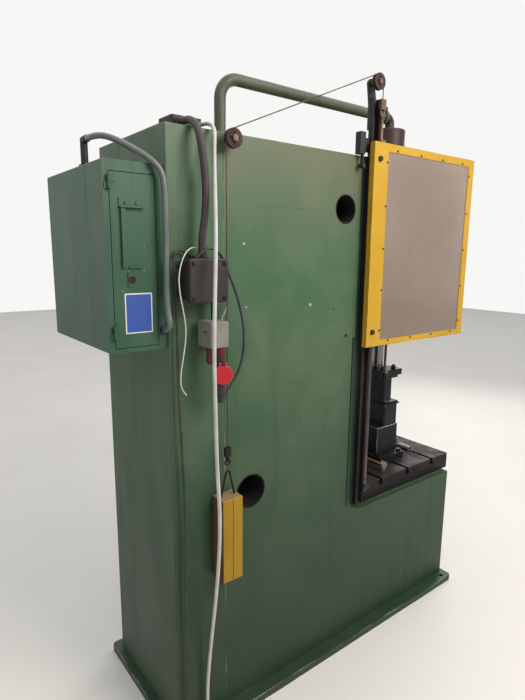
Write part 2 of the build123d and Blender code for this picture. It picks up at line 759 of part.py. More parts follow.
mesh = window_sheet(mesh_x0, mesh_x1)
cell_y = (window_y1 - window_y0 - mesh_bar) / mesh_columns
cell_z = (window_z1 - window_z0 - mesh_bar) / mesh_rows
gap = Rectangle(cell_y - mesh_bar, cell_z - mesh_bar)
centre_y = (window_y0 + window_y1) / 2
centre_z = (window_z0 + window_z1) / 2
gaps = [loc * gap for loc in GridLocations(cell_y, cell_z, mesh_columns, mesh_rows)]
punch = plate_x(Pos(centre_y, centre_z) * (Sketch() + gaps), mesh_x0 - 1, mesh_thickness + 2)
parts["guard_mesh"] = mesh - punch

screws = []
for y, z in screw_places:
    screw = rod_x(screw_diameter, guard_x0, mesh_x1 + 4, y, z)
    screw += rod_x(screw_diameter * 2, guard_x0 - 2, guard_x0, y, z)
    screw += hexagon_x(screw_diameter * 1.8, mesh_x1, mesh_x1 + 3, y, z)
    screws.append(screw)
parts["guard_screws"] = group(*screws)

guides = []
shoe_y = (rail_y0 + rail_y1) / 2
for z in shoe_heights:
    shoe = block(guard_x1, rail_x1 - rail_wall - running_gap, rail_y0 + rail_wall + running_gap,
                 rail_y1 - rail_wall - running_gap, z - shoe_height / 2, z + shoe_height / 2)
    shoe += block(guard_x0 + guard_sheet, guard_x1, shoe_y - rail_width / 2, shoe_y + rail_width / 2,
                  z - shoe_height / 2, z + shoe_height / 2)
    shoe += rod_x(big_bolt * 1.7, guard_x0 - 1, guard_x0, shoe_y, z)
    shoe += hexagon_x(big_bolt * 1.4, guard_x0 - 1, guard_x0 - big_bolt * 0.7, shoe_y, z)
    shoe += rod_x(big_bolt, guard_x0 - 1, guard_x0 + guard_sheet + 1, shoe_y, z)
    bush_y0 = rod_y_place - guide_rod / 2 - bush_wall
    bush_x1 = rod_x_place + guide_rod / 2 + bush_wall
    bush = block(guard_x0 + guard_sheet, bush_x1, bush_y0, rail_y0 - running_gap,
                 z - shoe_height / 2, z + shoe_height / 2)
    bush -= rod_z(guide_rod + 2 * rod_fit, z - shoe_height, z + shoe_height, rod_x_place, rod_y_place)
    bush -= block(guard_x0, guard_x1, bush_y0 - 1, window_y1 + pane_overlap + 1,
                  z - shoe_height, z + shoe_height)
    guides.append(shoe + bush)
parts["guard_guides"] = group(*guides)
bolt_hole = big_bolt + 0.4
for z in shoe_heights:
    parts["guard_frame"] -= rod_x(bolt_hole, guard_x0 - 1, guard_x0 + guard_sheet + 1, shoe_y, z)

hanger_x = rope_x
hanger = block(guard_x0, guard_x1, drop_y - 14, drop_y + 14, guard_top, guard_top + 8)
hanger += rod_z(10, guard_top, guard_clamp_z - 24, hanger_x, drop_y)
shackle = FilletPolyline(
    (hanger_x, drop_y - 9, guard_clamp_z), (hanger_x, drop_y - 9, guard_clamp_z - 28),
    (hanger_x, drop_y + 9, guard_clamp_z - 28), (hanger_x, drop_y + 9, guard_clamp_z), radius=8.5)
hanger += sweep(Plane(origin=shackle @ 0, z_dir=shackle % 0) * Circle(3), path=shackle)
hanger += block(hanger_x - 7, hanger_x + 7, drop_y - 13, drop_y + 13, guard_clamp_z - 4, clamp_z1)
parts["guard_hanger"] = hanger

# Counterweight with its wire bail
weight_x0 = rope_x - weight_thickness / 2
weight_y0 = weight_y - weight_width / 2
weight = block(weight_x0, weight_x0 + weight_thickness, weight_y0, weight_y0 + weight_width,
               weight_top - weight_height, weight_top)
weight = chamfer(weight.edges(), 2)
weight -= block(weight_x0 - 1, weight_x0 + 2, weight_y - 1.5, weight_y + 1.5,
                weight_top - weight_height - 1, weight_top + 1)
parts["counterweight"] = weight

eye = 9.0
link = 3.2
bail_top = weight_top + bail_height
bail_path = FilletPolyline(
    (rope_x, weight_y - weight_width * 0.33, weight_top), (rope_x, weight_y, bail_top),
    (rope_x, weight_y + weight_width * 0.33, weight_top), radius=bail_wire)
bail = sweep(Plane(origin=bail_path @ 0, z_dir=bail_path % 0) * Circle(bail_wire / 2), path=bail_path)
bail &= block(left, 2 * left, weight_y - weight_width, weight_y + weight_width, weight_top, guard_top)
bail += Pos(rope_x, weight_y, bail_top + eye - 3) * Rot(0, 90, 0) * Torus(eye, link)
bail += Pos(rope_x, weight_y, bail_top + 3 * eye - 8) * Rot(90, 0, 0) * Torus(eye - 2, link)
bail_z1 = weight_clamp_z + clamp_height
bail += block(rope_x - 7, rope_x + 7, weight_y - 10, weight_y + 10, weight_clamp_z, bail_z1)
parts["weight_bail"] = bail

# Limit switch behind the rail, with its roller arm
switch_z = column_height + 3
limit = block(left - 24, left + 4, rail_y1 + 31, rail_y1 + 61, switch_z, switch_z + 77)
limit = fillet(limit.edges().filter_by(Axis.Z), 4)
limit += block(left - 12, left - 6, rail_y1, rail_y1 + 31, switch_z + 10, switch_z + 60)
limit += block(left - 24, left - 14, rail_y1 + 40, rail_y1 + 48, switch_z - 40, switch_z)
limit += rod_x(18, left - 30, left - 10, rail_y1 + 44, switch_z - 42)
parts["limit_switch"] = limit

# Electrical cabinet on the rear, opening to the left through a narrow door
cab_x0 = left + cabinet_setback
cab_x1 = cab_x0 + cabinet_length
cab_y1 = rear + cabinet_depth
cab_z1 = column_height - cabinet_drop
cabinet_bottom = cab_z1 - cabinet_height
door_y0 = rear + door_front_strip
door_y1 = cab_y1 - door_rear_strip
door_z0 = cabinet_bottom + door_edge_strip
door_z1 = cab_z1 - door_top_strip
hinge_x = cab_x0 - hinge_knuckle / 2 - 1
hinge_y = door_y1
hinge_middles = [cabinet_bottom + hinge_inset, cab_z1 - hinge_inset]
leaf = 3.0

cabinet = block(cab_x0, cab_x1, rear, cab_y1, cabinet_bottom, cab_z1)
cabinet = fillet(cabinet.edges().filter_by(Axis.X).group_by(Axis.Y)[-1], 5)
cabinet -= block(cab_x0 + cabinet_sheet, cab_x1 - cabinet_sheet, rear + cabinet_sheet, cab_y1 - cabinet_sheet,
                 cabinet_bottom + cabinet_sheet, cab_z1 - cabinet_sheet)
cabinet -= block(cab_x0 - 1, cab_x0 + cabinet_sheet + 1, door_y0, door_y1, door_z0, door_z1)
for z in hinge_middles:
    knuckle = rod_z(hinge_knuckle, z - hinge_height / 2, z, hinge_x, hinge_y)
    pin = rod_z(hinge_pin, z, z + hinge_height / 2, hinge_x, hinge_y)
    strap = block(cab_x0 - leaf, cab_x0, hinge_y + 1, hinge_y + 13, z - hinge_height / 2, z - 1)
    link = block(hinge_x, cab_x0, hinge_y + 1, hinge_y + hinge_knuckle / 2, z - hinge_height / 2, z - 1)
    cabinet += knuckle + pin + strap + link
parts["cabinet_box"] = cabinet

panel_x = cab_x0
door = block(panel_x, panel_x + door_flange, door_y0 + door_gap, door_y1 - door_gap,
             door_z0 + door_gap, door_z1 - door_gap)
door -= block(panel_x + cabinet_sheet, panel_x + door_flange + 1, door_y0 + door_gap + cabinet_sheet,
              door_y1 - door_gap - cabinet_sheet, door_z0 + door_gap + cabinet_sheet,
              door_z1 - door_gap - cabinet_sheet)
pin_clearance = 0.05
for z in hinge_middles:
    knuckle = rod_z(hinge_knuckle, z + 0.3, z + hinge_height / 2 + 2, hinge_x, hinge_y)
    strap = block(panel_x - leaf, panel_x, hinge_y - 16, hinge_y - door_gap, z + 1, z + hinge_height / 2)
    link_y0 = hinge_y - hinge_knuckle / 2
    link = block(hinge_x - 3, panel_x, link_y0, hinge_y - door_gap, z + 1, z + hinge_height / 2)
    door += knuckle + strap + link
    door -= rod_z(hinge_pin + 2 * pin_clearance, z, z + hinge_height / 2 + 0.5, hinge_x, hinge_y)

# Bolted angle, upright bar and slot lip on the door
angle_z = cabinet_bottom + 0.765 * cabinet_height
angle_y0 = door_y0 + 0.27 * (door_y1 - door_y0)
angle_y1 = door_y1 - 26
door += block(panel_x - 3, panel_x, angle_y0, angle_y1, angle_z, angle_z + 26)
door += block(panel_x - 12, panel_x, angle_y0, angle_y1, angle_z, angle_z + 3)
for y in (angle_y0 + 20, angle_y1 - 20):
    door += rod_x(9, panel_x - 6, panel_x - 3, y, angle_z + 14)
bar_bottom = cabinet_bottom + 0.457 * cabinet_height
door += block(panel_x - 8, panel_x, angle_y1 - 15, angle_y1 - 4, bar_bottom, angle_z)
lip_y = door_y0 + 0.5 * (door_y1 - door_y0)
door += block(panel_x - 6, panel_x, lip_y - 20, lip_y + 20, bar_bottom - 2, bar_bottom + 2)
lock_z = cabinet_bottom + lock_height
lock_y = angle_y1 - 32
door += block(panel_x - 3, panel_x, lock_y - 13, lock_y + 13, lock_z - 20, lock_z + 20)
door -= rod_x(lock_barrel + 2 * rod_fit, panel_x - 5, panel_x + 5, lock_y, lock_z)
parts["cabinet_door"] = door

cam_x = panel_x + door_flange + 2
lock = rod_x(lock_barrel, panel_x - 6, cam_x, lock_y, lock_z)
lock += rod_x(lock_barrel + 6, panel_x - 6, panel_x - 3.2, lock_y, lock_z)
cam_reach = lock_y - door_y0 + 9
lock += block(cam_x, cam_x + 3, lock_y - 8, lock_y + 8, lock_z - cam_reach, lock_z + 8)
lock -= block(panel_x - 7, panel_x - 4, lock_y - 1, lock_y + 1, lock_z - 6, lock_z + 6)
parts["door_lock"] = lock

# Mounting plate in the cabinet with its contactors and terminals
tray_y0 = rear + cabinet_sheet
tray_y1 = tray_y0 + tray_plate
tray = block(cab_x0 + tray_door_gap, cab_x1 - 20, tray_y0, tray_y1, cabinet_bottom + 30, cab_z1 - 30)
for row, depth in ((0.28, 60), (0.68, 75)):
    z = cabinet_bottom + row * cabinet_height
    for k in range(5):
        x = cab_x0 + tray_door_gap + 30 + k * (contactor + 18)
        z0 = z - contactor_height / 2
        tray += block(x, x + contactor, tray_y1, tray_y1 + depth, z0, z0 + contactor_height)
parts["contactor_tray"] = tray

# Cast switch box on the left side
switch_y1 = rear - switch_rear_inset
switch_y0 = switch_y1 - switch_width
switch_x0 = left - switch_depth
switch_z1 = switch_bottom + switch_height
lid_depth = 22.0
body = block(switch_x0 + lid_depth, left, switch_y0, switch_y1 - 8, switch_bottom, switch_z1)
body = fillet(body.edges().filter_by(Axis.X), 10)
cap = block(switch_x0, switch_x0 + lid_depth, switch_y0 - 4, switch_y1 + 4, switch_bottom - 4, switch_z1 + 4)
cap = fillet(cap.edges().filter_by(Axis.X), 12)
cap = fillet(cap.edges().group_by(Axis.X)[0], 5)
body += cap
for y in (switch_y0 + 10, switch_y1 - 10):
    for z in (switch_bottom + 9, switch_z1 - 9):
        body += rod_x(13, switch_x0 - 3, switch_x0, y, z)
        body += hexagon_x(9, switch_x0 - 3, switch_x0 - 7, y, z)
for y in (switch_y0 - 7, switch_y1 - 1):
    for z in (switch_bottom + 22, switch_z1 - 14):
        body += block(left - 8, left, y - 10, y + 10, z - 9, z + 9)
parts["switch_box"] = body

# Socket box below it, its two red collars, and the connector that hangs from the right one
socket_y1 = rear - socket_rear_inset
socket_y0 = socket_y1 - socket_width
socket_x1 = left - socket_gap
socket_x0 = socket_x1 - socket_depth
socket_z1 = switch_bottom - socket_under_switch
socket_bottom = socket_z1 - socket_height
socket = block(socket_x0, socket_x1, socket_y0, socket_y1, socket_bottom, socket_z1)
socket = fillet(socket.edges().filter_by(Axis.X), 6)
socket = fillet(socket.edges().group_by(Axis.X)[0], 5)
slot_z = socket_bottom + 0.55 * socket_height
socket -= block(socket_x0 + 22, socket_x0 + 48, socket_y1 - 5, socket_y1 + 1, slot_z, slot_z + 7)
parts["socket_box"] = socket

collar_x = socket_x0 + 18
connector_y = socket_y0 + 20
closed_x = collar_x + 24
closed_y = connector_y + 19
cap_foot = collar_length + 8
closed = rod_z(collar_diameter, socket_bottom - collar_length, socket_bottom, closed_x, closed_y)
cap_z0 = socket_bottom - cap_foot
closed += rod_z(collar_diameter - 6, cap_z0, socket_bottom - collar_length, closed_x, closed_y)
connector_top = socket_bottom - collar_length * 0.6
open_collar = rod_z(collar_diameter, connector_top, socket_bottom, collar_x, connector_y)
parts["red_sockets"] = group(closed, open_collar)

# The connector is drawn with its mouth along -X, then turned about its upright axis towards the rear
mouth = 27.0
lid_z = connector_top - 52
outlet_z = connector_top - 137
nozzle_length = 30.0
nozzle_tilt = 45.0
lid_hinge_z = lid_z + lid_diameter / 2 + 3
body = rod_z(connector_diameter, outlet_z + 16, connector_top, 0, 0)
body += Pos(0, 0, outlet_z) * Cylinder(12, 20, align=(Align.CENTER, Align.CENTER, Align.MIN))
body += Pos(0, 0, outlet_z) * Sphere(12)
body += rod_x(28, -mouth, 0, 0, lid_z)
body += block(-mouth + 1, -10, -6, 6, lid_z, lid_hinge_z - 2)
body += rod_y(5, -12, 12, -mouth - 3, lid_hinge_z)
body += block(-mouth - 3, -mouth + 5, -6, 6, lid_hinge_z - 2.5, lid_hinge_z + 2.5)

disc = rod_x(lid_diameter, -mouth - lid_thickness - 0.4, -mouth - 0.4, 0, lid_z)
disc = fillet(disc.edges().filter_by(GeomType.CIRCLE).group_by(Axis.X)[0], 2)
for side in (-1, 1):
    y = side * 9.5
    knuckle = rod_y(9, y - 2.5, y + 2.5, -mouth - 3, lid_hinge_z)
    knuckle += block(-mouth - 7, -mouth - 2.4, y - 2.5, y + 2.5, lid_z, lid_hinge_z)
    disc += knuckle - rod_y(5 + 2 * rod_fit, y - 3, y + 3, -mouth - 3, lid_hinge_z)
disc -= block(-mouth - 9, -mouth + 9, -6.4, 6.4, lid_hinge_z - 5, lid_hinge_z + 9)

hang = Pos(collar_x, connector_y, 0) * Rot(0, 0, -connector_turn)
nozzle = Cylinder(plug_cable_diameter * 0.9, nozzle_length, align=(Align.CENTER, Align.CENTER, Align.MIN))
nozzle = Pos(collar_x, connector_y, outlet_z) * Rot(nozzle_tilt, 0, 0) * nozzle
parts["connector_body"] = hang * body + nozzle
parts["connector_lid"] = hang * disc

# Terminal box on top, where the conduit and the white cable start
terminal_x0 = left + terminal_inset
terminal_y0 = rear - terminal_rear_inset
terminal_x1 = terminal_x0 + terminal_width
terminal_y1 = terminal_y0 + terminal_length
terminal_z1 = column_height + terminal_height
terminal = block(terminal_x0, terminal_x1, terminal_y0, terminal_y1, column_height, terminal_z1)
terminal = fillet(terminal.edges().filter_by(Axis.Z), 6)

# Cord routes: each starts in its gland and ends in the next one
gland_length = 20.0
conduit_x = left - 40
conduit_y = switch_y0 + 62
conduit_gland_y = terminal_y0 + 82
conduit_end = (conduit_x, conduit_y, switch_z1 + gland_length)
conduit_route = [
    (terminal_x0 - gland_length, conduit_gland_y, column_height + 24),
    (left + 24, conduit_gland_y, column_height + 24),
    (left - 12, conduit_gland_y + 1, column_height + 12),
    (left - 38, conduit_gland_y + 2, column_height - 14),
    (left - 50, conduit_gland_y, column_height - 50),
    (left - 52, conduit_gland_y - 9, column_height - 115),
    (left - 50, conduit_gland_y - 15, column_height - 190),
    (left - 44, conduit_gland_y - 13, column_height - 262),
    (conduit_x, conduit_y, switch_z1 + gland_length + 46),
    conduit_end,
]
parts["supply_conduit"] = cord("supply_conduit", conduit_diameter, conduit_route)

white_gland_y = terminal_y0 + 20
base_gland_top = base_thickness + gland_length
gland_reach = 17.0
white_route = [
    (terminal_x0 - gland_length, white_gland_y, column_height + 22),
    (left + 24, white_gland_y, column_height + 22),
    (left - 12, white_gland_y - 2, column_height + 10),
    (left - 35, white_gland_y + 6, column_height - 17),
    (left - 44, white_gland_y + 14, column_height - 52),
    (left - 52, white_gland_y + 19, column_height - 112),
    (left - 82, white_gland_y + 36, column_height - 220),
    (left - 115, white_gland_y + 56, column_height - 340),
    (left - 143, white_gland_y + 79, column_height - 480),
    (left - 158, white_gland_y + 93, column_height - 650),
    (left - 160, white_gland_y + 91, column_height - 820),
    (left - 153, white_gland_y + 83, column_height - 990),
    (left - 136, white_gland_y + 62, column_height - 1160),
    (left - 108, white_gland_y + 49, column_height - 1330),
    (left - 76, white_gland_y + 43, column_height - 1500),
    (left - 47, white_gland_y + 43, column_height - 1660),
    (left - 29, white_gland_y + 46, column_height - 1800),
    (left - 21, white_gland_y + 48, column_height - 1900),
    (left - 21, white_gland_y + 48, base_gland_top),
]
parts["white_cable"] = cord("white_cable", white_cable_diameter, white_route)

corner_x = left - 17
corner_y = switch_y0 + 83
tilt = 50.0
tilt_foot = 5.0
corner_exit = Vector(corner_x, corner_y + gland_reach * sin(radians(tilt)),
                     switch_z1 + tilt_foot + gland_reach * cos(radians(tilt)))
corner_route = [
    tuple(corner_exit),
    (corner_x, corner_exit.Y + 13 * cos(radians(90 - tilt)), corner_exit.Z + 13 * sin(radians(90 - tilt))),
    (corner_x, corner_exit.Y + 22, corner_exit.Z + 12),
    (corner_x, corner_exit.Y + 35, corner_exit.Z + 9),
    (corner_x, corner_exit.Y + 44, corner_exit.Z - 1),
    (corner_x, corner_exit.Y + 48, corner_exit.Z - 15),
    (corner_x, corner_exit.Y + 47, corner_exit.Z - 42),
    (corner_x + 1, corner_exit.Y + 43, corner_exit.Z - 96),
    (corner_x, corner_exit.Y + 42, corner_exit.Z - 200),
    (corner_x - 2, corner_exit.Y + 43, corner_exit.Z - 315),
    (corner_x - 2, corner_exit.Y + 42, corner_exit.Z - 430),
    (corner_x - 3, corner_exit.Y + 38, corner_exit.Z - 545),
    (corner_x - 2, corner_exit.Y + 33, corner_exit.Z - 660),
    (corner_x - 3, corner_exit.Y + 30, corner_exit.Z - 775),
    (corner_x - 1, corner_exit.Y + 29, corner_exit.Z - 890),
    (corner_x - 2, corner_exit.Y + 32, corner_exit.Z - 1005),
    (corner_x, corner_exit.Y + 34, corner_exit.Z - 1120),
    (corner_x - 1, corner_exit.Y + 33, corner_exit.Z - 1240),
    (corner_x - 3, corner_exit.Y + 31, corner_exit.Z - 1360),
    (corner_x - 4, corner_exit.Y + 30, corner_exit.Z - 1470),
    (corner_x - 4, corner_exit.Y + 30, corner_exit.Z - 1560),
    (corner_x - 4, corner_exit.Y + 30, base_gland_top),
]
parts["corner_cable"] = cord("corner_cable", corner_cable_diameter, corner_route[:-2] + corner_route[-1:])

plug_x = left - 57
plug_y = switch_y0 + 91
plug_exit = Vector(plug_x, plug_y - gland_reach * sin(radians(tilt)),
                   switch_z1 + tilt_foot + gland_reach * cos(radians(tilt)))
plug_lead = Vector(0, -sin(radians(tilt)), cos(radians(tilt)))
nozzle_lead = Vector(0, -sin(radians(nozzle_tilt)), cos(radians(nozzle_tilt)))
nozzle_end = Vector(collar_x, connector_y, outlet_z) + nozzle_lead * nozzle_length
plug_route = [
    tuple(plug_exit),
    tuple(plug_exit + plug_lead * 21),
    (plug_x, plug_y - 50, switch_z1 + 35),
    (plug_x, plug_y - 71, switch_z1 + 27),
    (plug_x, plug_y - 88, switch_z1 + 10),
    (plug_x - 1, plug_y - 104, switch_z1 - 25),
    (plug_x - 5, plug_y - 126, switch_z1 - 72),
    (plug_x - 11, plug_y - 139, switch_z1 - 117),
    (plug_x - 18, plug_y - 151, switch_z1 - 171),
    (plug_x - 24, plug_y - 155, switch_z1 - 226),
    (collar_x, plug_y - 151, switch_z1 - 280),
    (collar_x, plug_y - 140, switch_z1 - 331),
    tuple(nozzle_end + nozzle_lead * 34),
    tuple(nozzle_end),
]
parts["plug_cable"] = cord("plug_cable", plug_cable_diameter, plug_route)

wire_x = left - 80
wire_route = [
    (socket_x1 - 25, socket_y0, socket_z1 - 24),
    (socket_x1 - 25, socket_y0 - 11, socket_z1 - 24),
    (socket_x1 - 16, socket_y0 - 17, socket_z1 - 20),
    (socket_x1 - 3, socket_y0 - 21, socket_z1 - 11),
    (left - 20, socket_y0 - 29, socket_z1 + 3),
    (left - 20, socket_y0 - 42, socket_z1 + 22),
    (left - 20, socket_y0 - 48, socket_z1 + 52),
    (left - 20, socket_y0 - 46, socket_z1 + 90),
    (left - 20, socket_y0 - 44, socket_z1 + 132),
    (left - 20, socket_y0 - 42, socket_z1 + 172),
    (left - 20, socket_y0 - 29, socket_z1 + 194),
    (left - 20, socket_y0 - 12, socket_z1 + 210),
    (left - 20, socket_y0 + 8, socket_z1 + 216),
    (left - 21, socket_y0 + 32, socket_z1 + 215),
    (left - 22, socket_y0 + 58, socket_z1 + 216),
    (left - 37, socket_y0 + 82, socket_z1 + 217),
    (left - 56, socket_y0 + 104, socket_z1 + 214),
    (left - 72, socket_y0 + 127, socket_z1 + 203),
    (wire_x, socket_y0 + 146, socket_z1 + 177),
    (wire_x, socket_y0 + 156, socket_z1 + 135),
    (wire_x, socket_y0 + 153, socket_z1 + 87),
    (wire_x, socket_y0 + 143, socket_z1 + 39),
    (wire_x, socket_y0 + 135, socket_z1 - 9),
    (wire_x, socket_y0 + 138, socket_z1 - 57),
    (wire_x, socket_y0 + 147, socket_z1 - 103),
    (wire_x, socket_y0 + 155, socket_z1 - 145),
    (wire_x, socket_y0 + 157, socket_z1 - 175),
    (wire_x, socket_y0 + 151, socket_z1 - 197),
    (wire_x, socket_y0 + 138, socket_z1 - 213),
]
parts["thin_wire"] = cord("thin_wire", wire_diameter, wire_route)

hose_x = left - 16
hose_y = rear + 13
hose_gland_x = left + 215
hose_gland_y = cab_y1 - 28
hose_gland_z = cab_z1 + 78
strip_gland_z = cabinet_bottom + 58
hose_bend = 20.0
hose_route = [
    (hose_gland_x - 30, hose_gland_y, hose_gland_z),
    (hose_gland_x - 70, hose_gland_y, hose_gland_z),
    (hose_gland_x - 112, hose_gland_y - 14, hose_gland_z - 2),
    (hose_gland_x - 150, hose_gland_y - 37, hose_gland_z - 16),
    (hose_gland_x - 184, hose_gland_y - 66, hose_gland_z - 39),
    (hose_gland_x - 213, hose_gland_y - 104, hose_gland_z - 64),
    (left - 12, hose_y + 2, hose_gland_z - 98),
    (hose_x, hose_y - 3, hose_gland_z - 154),
    (hose_x - 1, hose_y - 3, hose_gland_z - 224),
    (hose_x, hose_y - 3, hose_gland_z - 310),
    (hose_x + 1, hose_y - 2, hose_gland_z - 390),
    (hose_x - 2, hose_y, hose_gland_z - 450),
    (hose_x - 9, hose_y + 1, hose_gland_z - 498),
    (cab_x0 - 10 - 2 * hose_bend, hose_y + 1, strip_gland_z + hose_bend),
    (cab_x0 - 10 - hose_bend, hose_y + 1, strip_gland_z),
    (cab_x0 - 10, hose_y + 1, strip_gland_z),
]
parts["cabinet_hose"] = cord("cabinet_hose", hose_diameter, hose_route)

# Cable glands: each is a collar round the end of its cord, with a hexagon at its foot
wall_foot = 8.0


def gland_z(diameter, x, y, z0, z1):
    """An upright gland from the wall at z0 to the cord's end at z1."""
    foot = z0 + wall_foot if z1 > z0 else z0 - wall_foot
    low, high = sorted((z0, foot))
    return rod_z(diameter * 1.35, min(z0, z1), max(z0, z1), x, y) + hexagon_z(diameter * 1.6, low, high, x, y)


tilted = []
for diameter, x, y, turn in ((plug_cable_diameter, plug_x, plug_y, tilt),
                             (corner_cable_diameter, corner_x, corner_y, -tilt)):
    foot = block(x - 5, x + 5, y - 8, y + 8, switch_z1, switch_z1 + 2 * tilt_foot)
    nose = Cylinder(diameter * 0.66, gland_reach, align=(Align.CENTER, Align.CENTER, Align.MIN))
    tilted.append(foot + Pos(x, y, switch_z1 + tilt_foot) * Rot(turn, 0, 0) * nose)
stalk = rod_z(hose_diameter * 1.2, cab_z1, hose_gland_z, hose_gland_x, hose_gland_y)
stalk += hexagon_z(hose_diameter * 1.7, cab_z1, cab_z1 + wall_foot, hose_gland_x, hose_gland_y)
stalk += rod_x(hose_diameter * 1.2, hose_gland_x - 30, hose_gland_x, hose_gland_y, hose_gland_z)
stalk += Pos(hose_gland_x, hose_gland_y, hose_gland_z) * Sphere(hose_diameter * 0.6)
white_end = white_route[-1]
corner_end = corner_route[-1]
glands = [
    *tilted,
    stalk,
    rod_x(hose_diameter * 1.25, cab_x0 - 10, cab_x0, hose_y + 1, strip_gland_z),
    gland_z(conduit_diameter, conduit_x, conduit_y, switch_z1, conduit_end[2]),
    gland_z(white_cable_diameter, white_end[0], white_end[1], base_thickness, base_gland_top),
    gland_z(corner_cable_diameter, corner_end[0], corner_end[1], base_thickness, base_gland_top),
    rod_z(conduit_diameter * 0.7, socket_z1, switch_bottom, left - nipple_inset, switch_y0 + 24),
]
for diameter, place in ((conduit_diameter, conduit_route[0]), (white_cable_diameter, white_route[0])):
    body = rod_x(diameter * 1.35, place[0], terminal_x0, place[1], place[2])
    body += hexagon_x(diameter * 1.6, terminal_x0 - wall_foot, terminal_x0, place[1], place[2])
    terminal += body
glands.append(terminal)
parts["cable_glands"] = group(*glands)

os.makedirs("parts", exist_ok=True)
for name, shape in parts.items():
    shape.label = name
    export_step(shape, f"parts/{name}.step")
print(len(parts), "nodes written")
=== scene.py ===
# %% [markdown]
# # A hydraulic press, dressed for a photograph
#
# The press is a tall green column on a base plate, with a cylinder above its table, a yellow guard
# that slides on a rail, and an electric cabinet behind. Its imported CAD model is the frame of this
# scene: every length is in metres, +Z is up and the operator stands at -Y.
#
# All of it could be modelled again here, but the solids already have the right shapes and joints.
# So the script gives each carried-over node a procedural material, replaces only the cords, the
# ropes and the guard's mesh by finer pieces, adds the bare sign on the cabinet's door, and sets a
# camera and a soft studio.

# %% The frame
import math

import bpy
import numpy as np
from mathutils import Matrix, Vector


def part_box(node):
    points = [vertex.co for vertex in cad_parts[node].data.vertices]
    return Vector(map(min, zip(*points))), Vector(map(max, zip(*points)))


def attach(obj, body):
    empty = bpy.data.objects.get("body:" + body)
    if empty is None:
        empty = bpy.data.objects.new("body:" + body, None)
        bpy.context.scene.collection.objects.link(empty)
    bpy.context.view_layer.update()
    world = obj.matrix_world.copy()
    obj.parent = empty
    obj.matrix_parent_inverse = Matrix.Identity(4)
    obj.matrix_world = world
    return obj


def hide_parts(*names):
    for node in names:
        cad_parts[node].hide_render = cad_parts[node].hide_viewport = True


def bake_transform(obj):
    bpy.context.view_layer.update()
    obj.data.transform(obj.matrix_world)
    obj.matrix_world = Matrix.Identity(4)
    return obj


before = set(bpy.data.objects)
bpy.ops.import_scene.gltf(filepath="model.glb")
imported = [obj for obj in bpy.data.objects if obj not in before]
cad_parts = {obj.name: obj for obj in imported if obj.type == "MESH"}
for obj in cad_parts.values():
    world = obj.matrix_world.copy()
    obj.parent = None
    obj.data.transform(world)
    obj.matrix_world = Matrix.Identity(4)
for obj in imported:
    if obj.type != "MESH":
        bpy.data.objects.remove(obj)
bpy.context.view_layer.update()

# %% [markdown]
# ## The camera
#
# The photograph was taken from the press's left side, a little behind it, at about eye height and
# with a wide lens. A camera can be placed by eye, but a few centimetres would show along every
# edge, so this one was solved from the press's upright and level edges.
#
# `look` turns a viewing direction and a roll into a rotation: the camera looks along its own -Z,
# with +Y up in the picture. The direction can't be straight up or down, because its cross product
# with Z would be zero.

# %% Camera
camera_place = (-1.634, 1.123, 1.693)
camera_direction = (0.7777, -0.6004, -0.1863)
camera_roll = 0.49
focal_length_mm = 26.51
sensor_height_mm = 36.0


def look(direction, roll_degrees):
    """Rotation whose -Z is the viewing direction, rolled clockwise about it."""
    back = -Vector(direction).normalized()
    side = Vector((0, 0, 1)).cross(back).normalized()
    up = back.cross(side)
    roll = math.radians(roll_degrees)
    rolled_side = side * math.cos(roll) + up * math.sin(roll)
    rolled_up = up * math.cos(roll) - side * math.sin(roll)
    return Matrix((rolled_side, rolled_up, back)).transposed().to_4x4()


camera_data = bpy.data.cameras.new("camera")
camera_data.sensor_fit = "VERTICAL"
camera_data.sensor_height = sensor_height_mm
camera_data.lens = focal_length_mm
camera = bpy.data.objects.new("camera", camera_data)
camera.matrix_world = Matrix.Translation(camera_place) @ look(camera_direction, camera_roll)
bpy.context.scene.collection.objects.link(camera)
bpy.context.scene.camera = camera
print("camera at", camera_place, "with a lens of", focal_length_mm, "mm")

# %% [markdown]
# ## Small helpers for node trees
#
# A material is a tree of nodes, and in Python each node takes several lines: it is made, its
# properties are set, and its sockets are filled or linked. The finishes of this press have dozens
# of nodes, so `add` does all of that in one call: a value is written and a socket is linked.
# `calc` does the same for one arithmetic step.

# %% Making and linking nodes
def plug(tree, socket, value):
    """Link another node's output to a socket, or write a constant into it."""
    if isinstance(value, bpy.types.NodeSocket):
        tree.links.new(value, socket)
    else:
        socket.default_value = value


def add(tree, kind, inputs=(), **settings):
    """A new node, with its settings and inputs."""
    node = tree.nodes.new("ShaderNode" + kind)
    for key, value in settings.items():
        setattr(node, key, value)
    for key, value in dict(inputs).items():
        plug(tree, node.inputs[key], value)
    return node


def calc(tree, operation, *values, clamp=False):
    """One arithmetic step between sockets or numbers."""
    node = tree.nodes.new("ShaderNodeMath")
    node.operation = operation
    node.use_clamp = clamp
    for socket, value in zip(node.inputs, values):
        plug(tree, socket, value)
    return node.outputs[0]


# %% [markdown]
# The steps that come back most get a name, so that a finish reads almost like a sentence. A mask
# is a value from 0 to 1 that says how much of an effect shows at a point.

# %% Named steps of arithmetic
def plus(tree, first, second, clamp=False):
    """The sum of two values."""
    return calc(tree, "ADD", first, second, clamp=clamp)


def less(tree, first, second):
    """The first value less the second."""
    return calc(tree, "SUBTRACT", first, second)


def times(tree, first, second):
    """The product of two values."""
    return calc(tree, "MULTIPLY", first, second)


def inverse(tree, mask):
    """1 where a mask is 0, and 0 where it is 1."""
    return calc(tree, "SUBTRACT", 1.0, mask)


def centred(tree, value, reach, clamp=False):
    """Noise around 0.5, moved to lie around 0 and scaled."""
    return calc(tree, "MULTIPLY", less(tree, value, 0.5), reach, clamp=clamp)


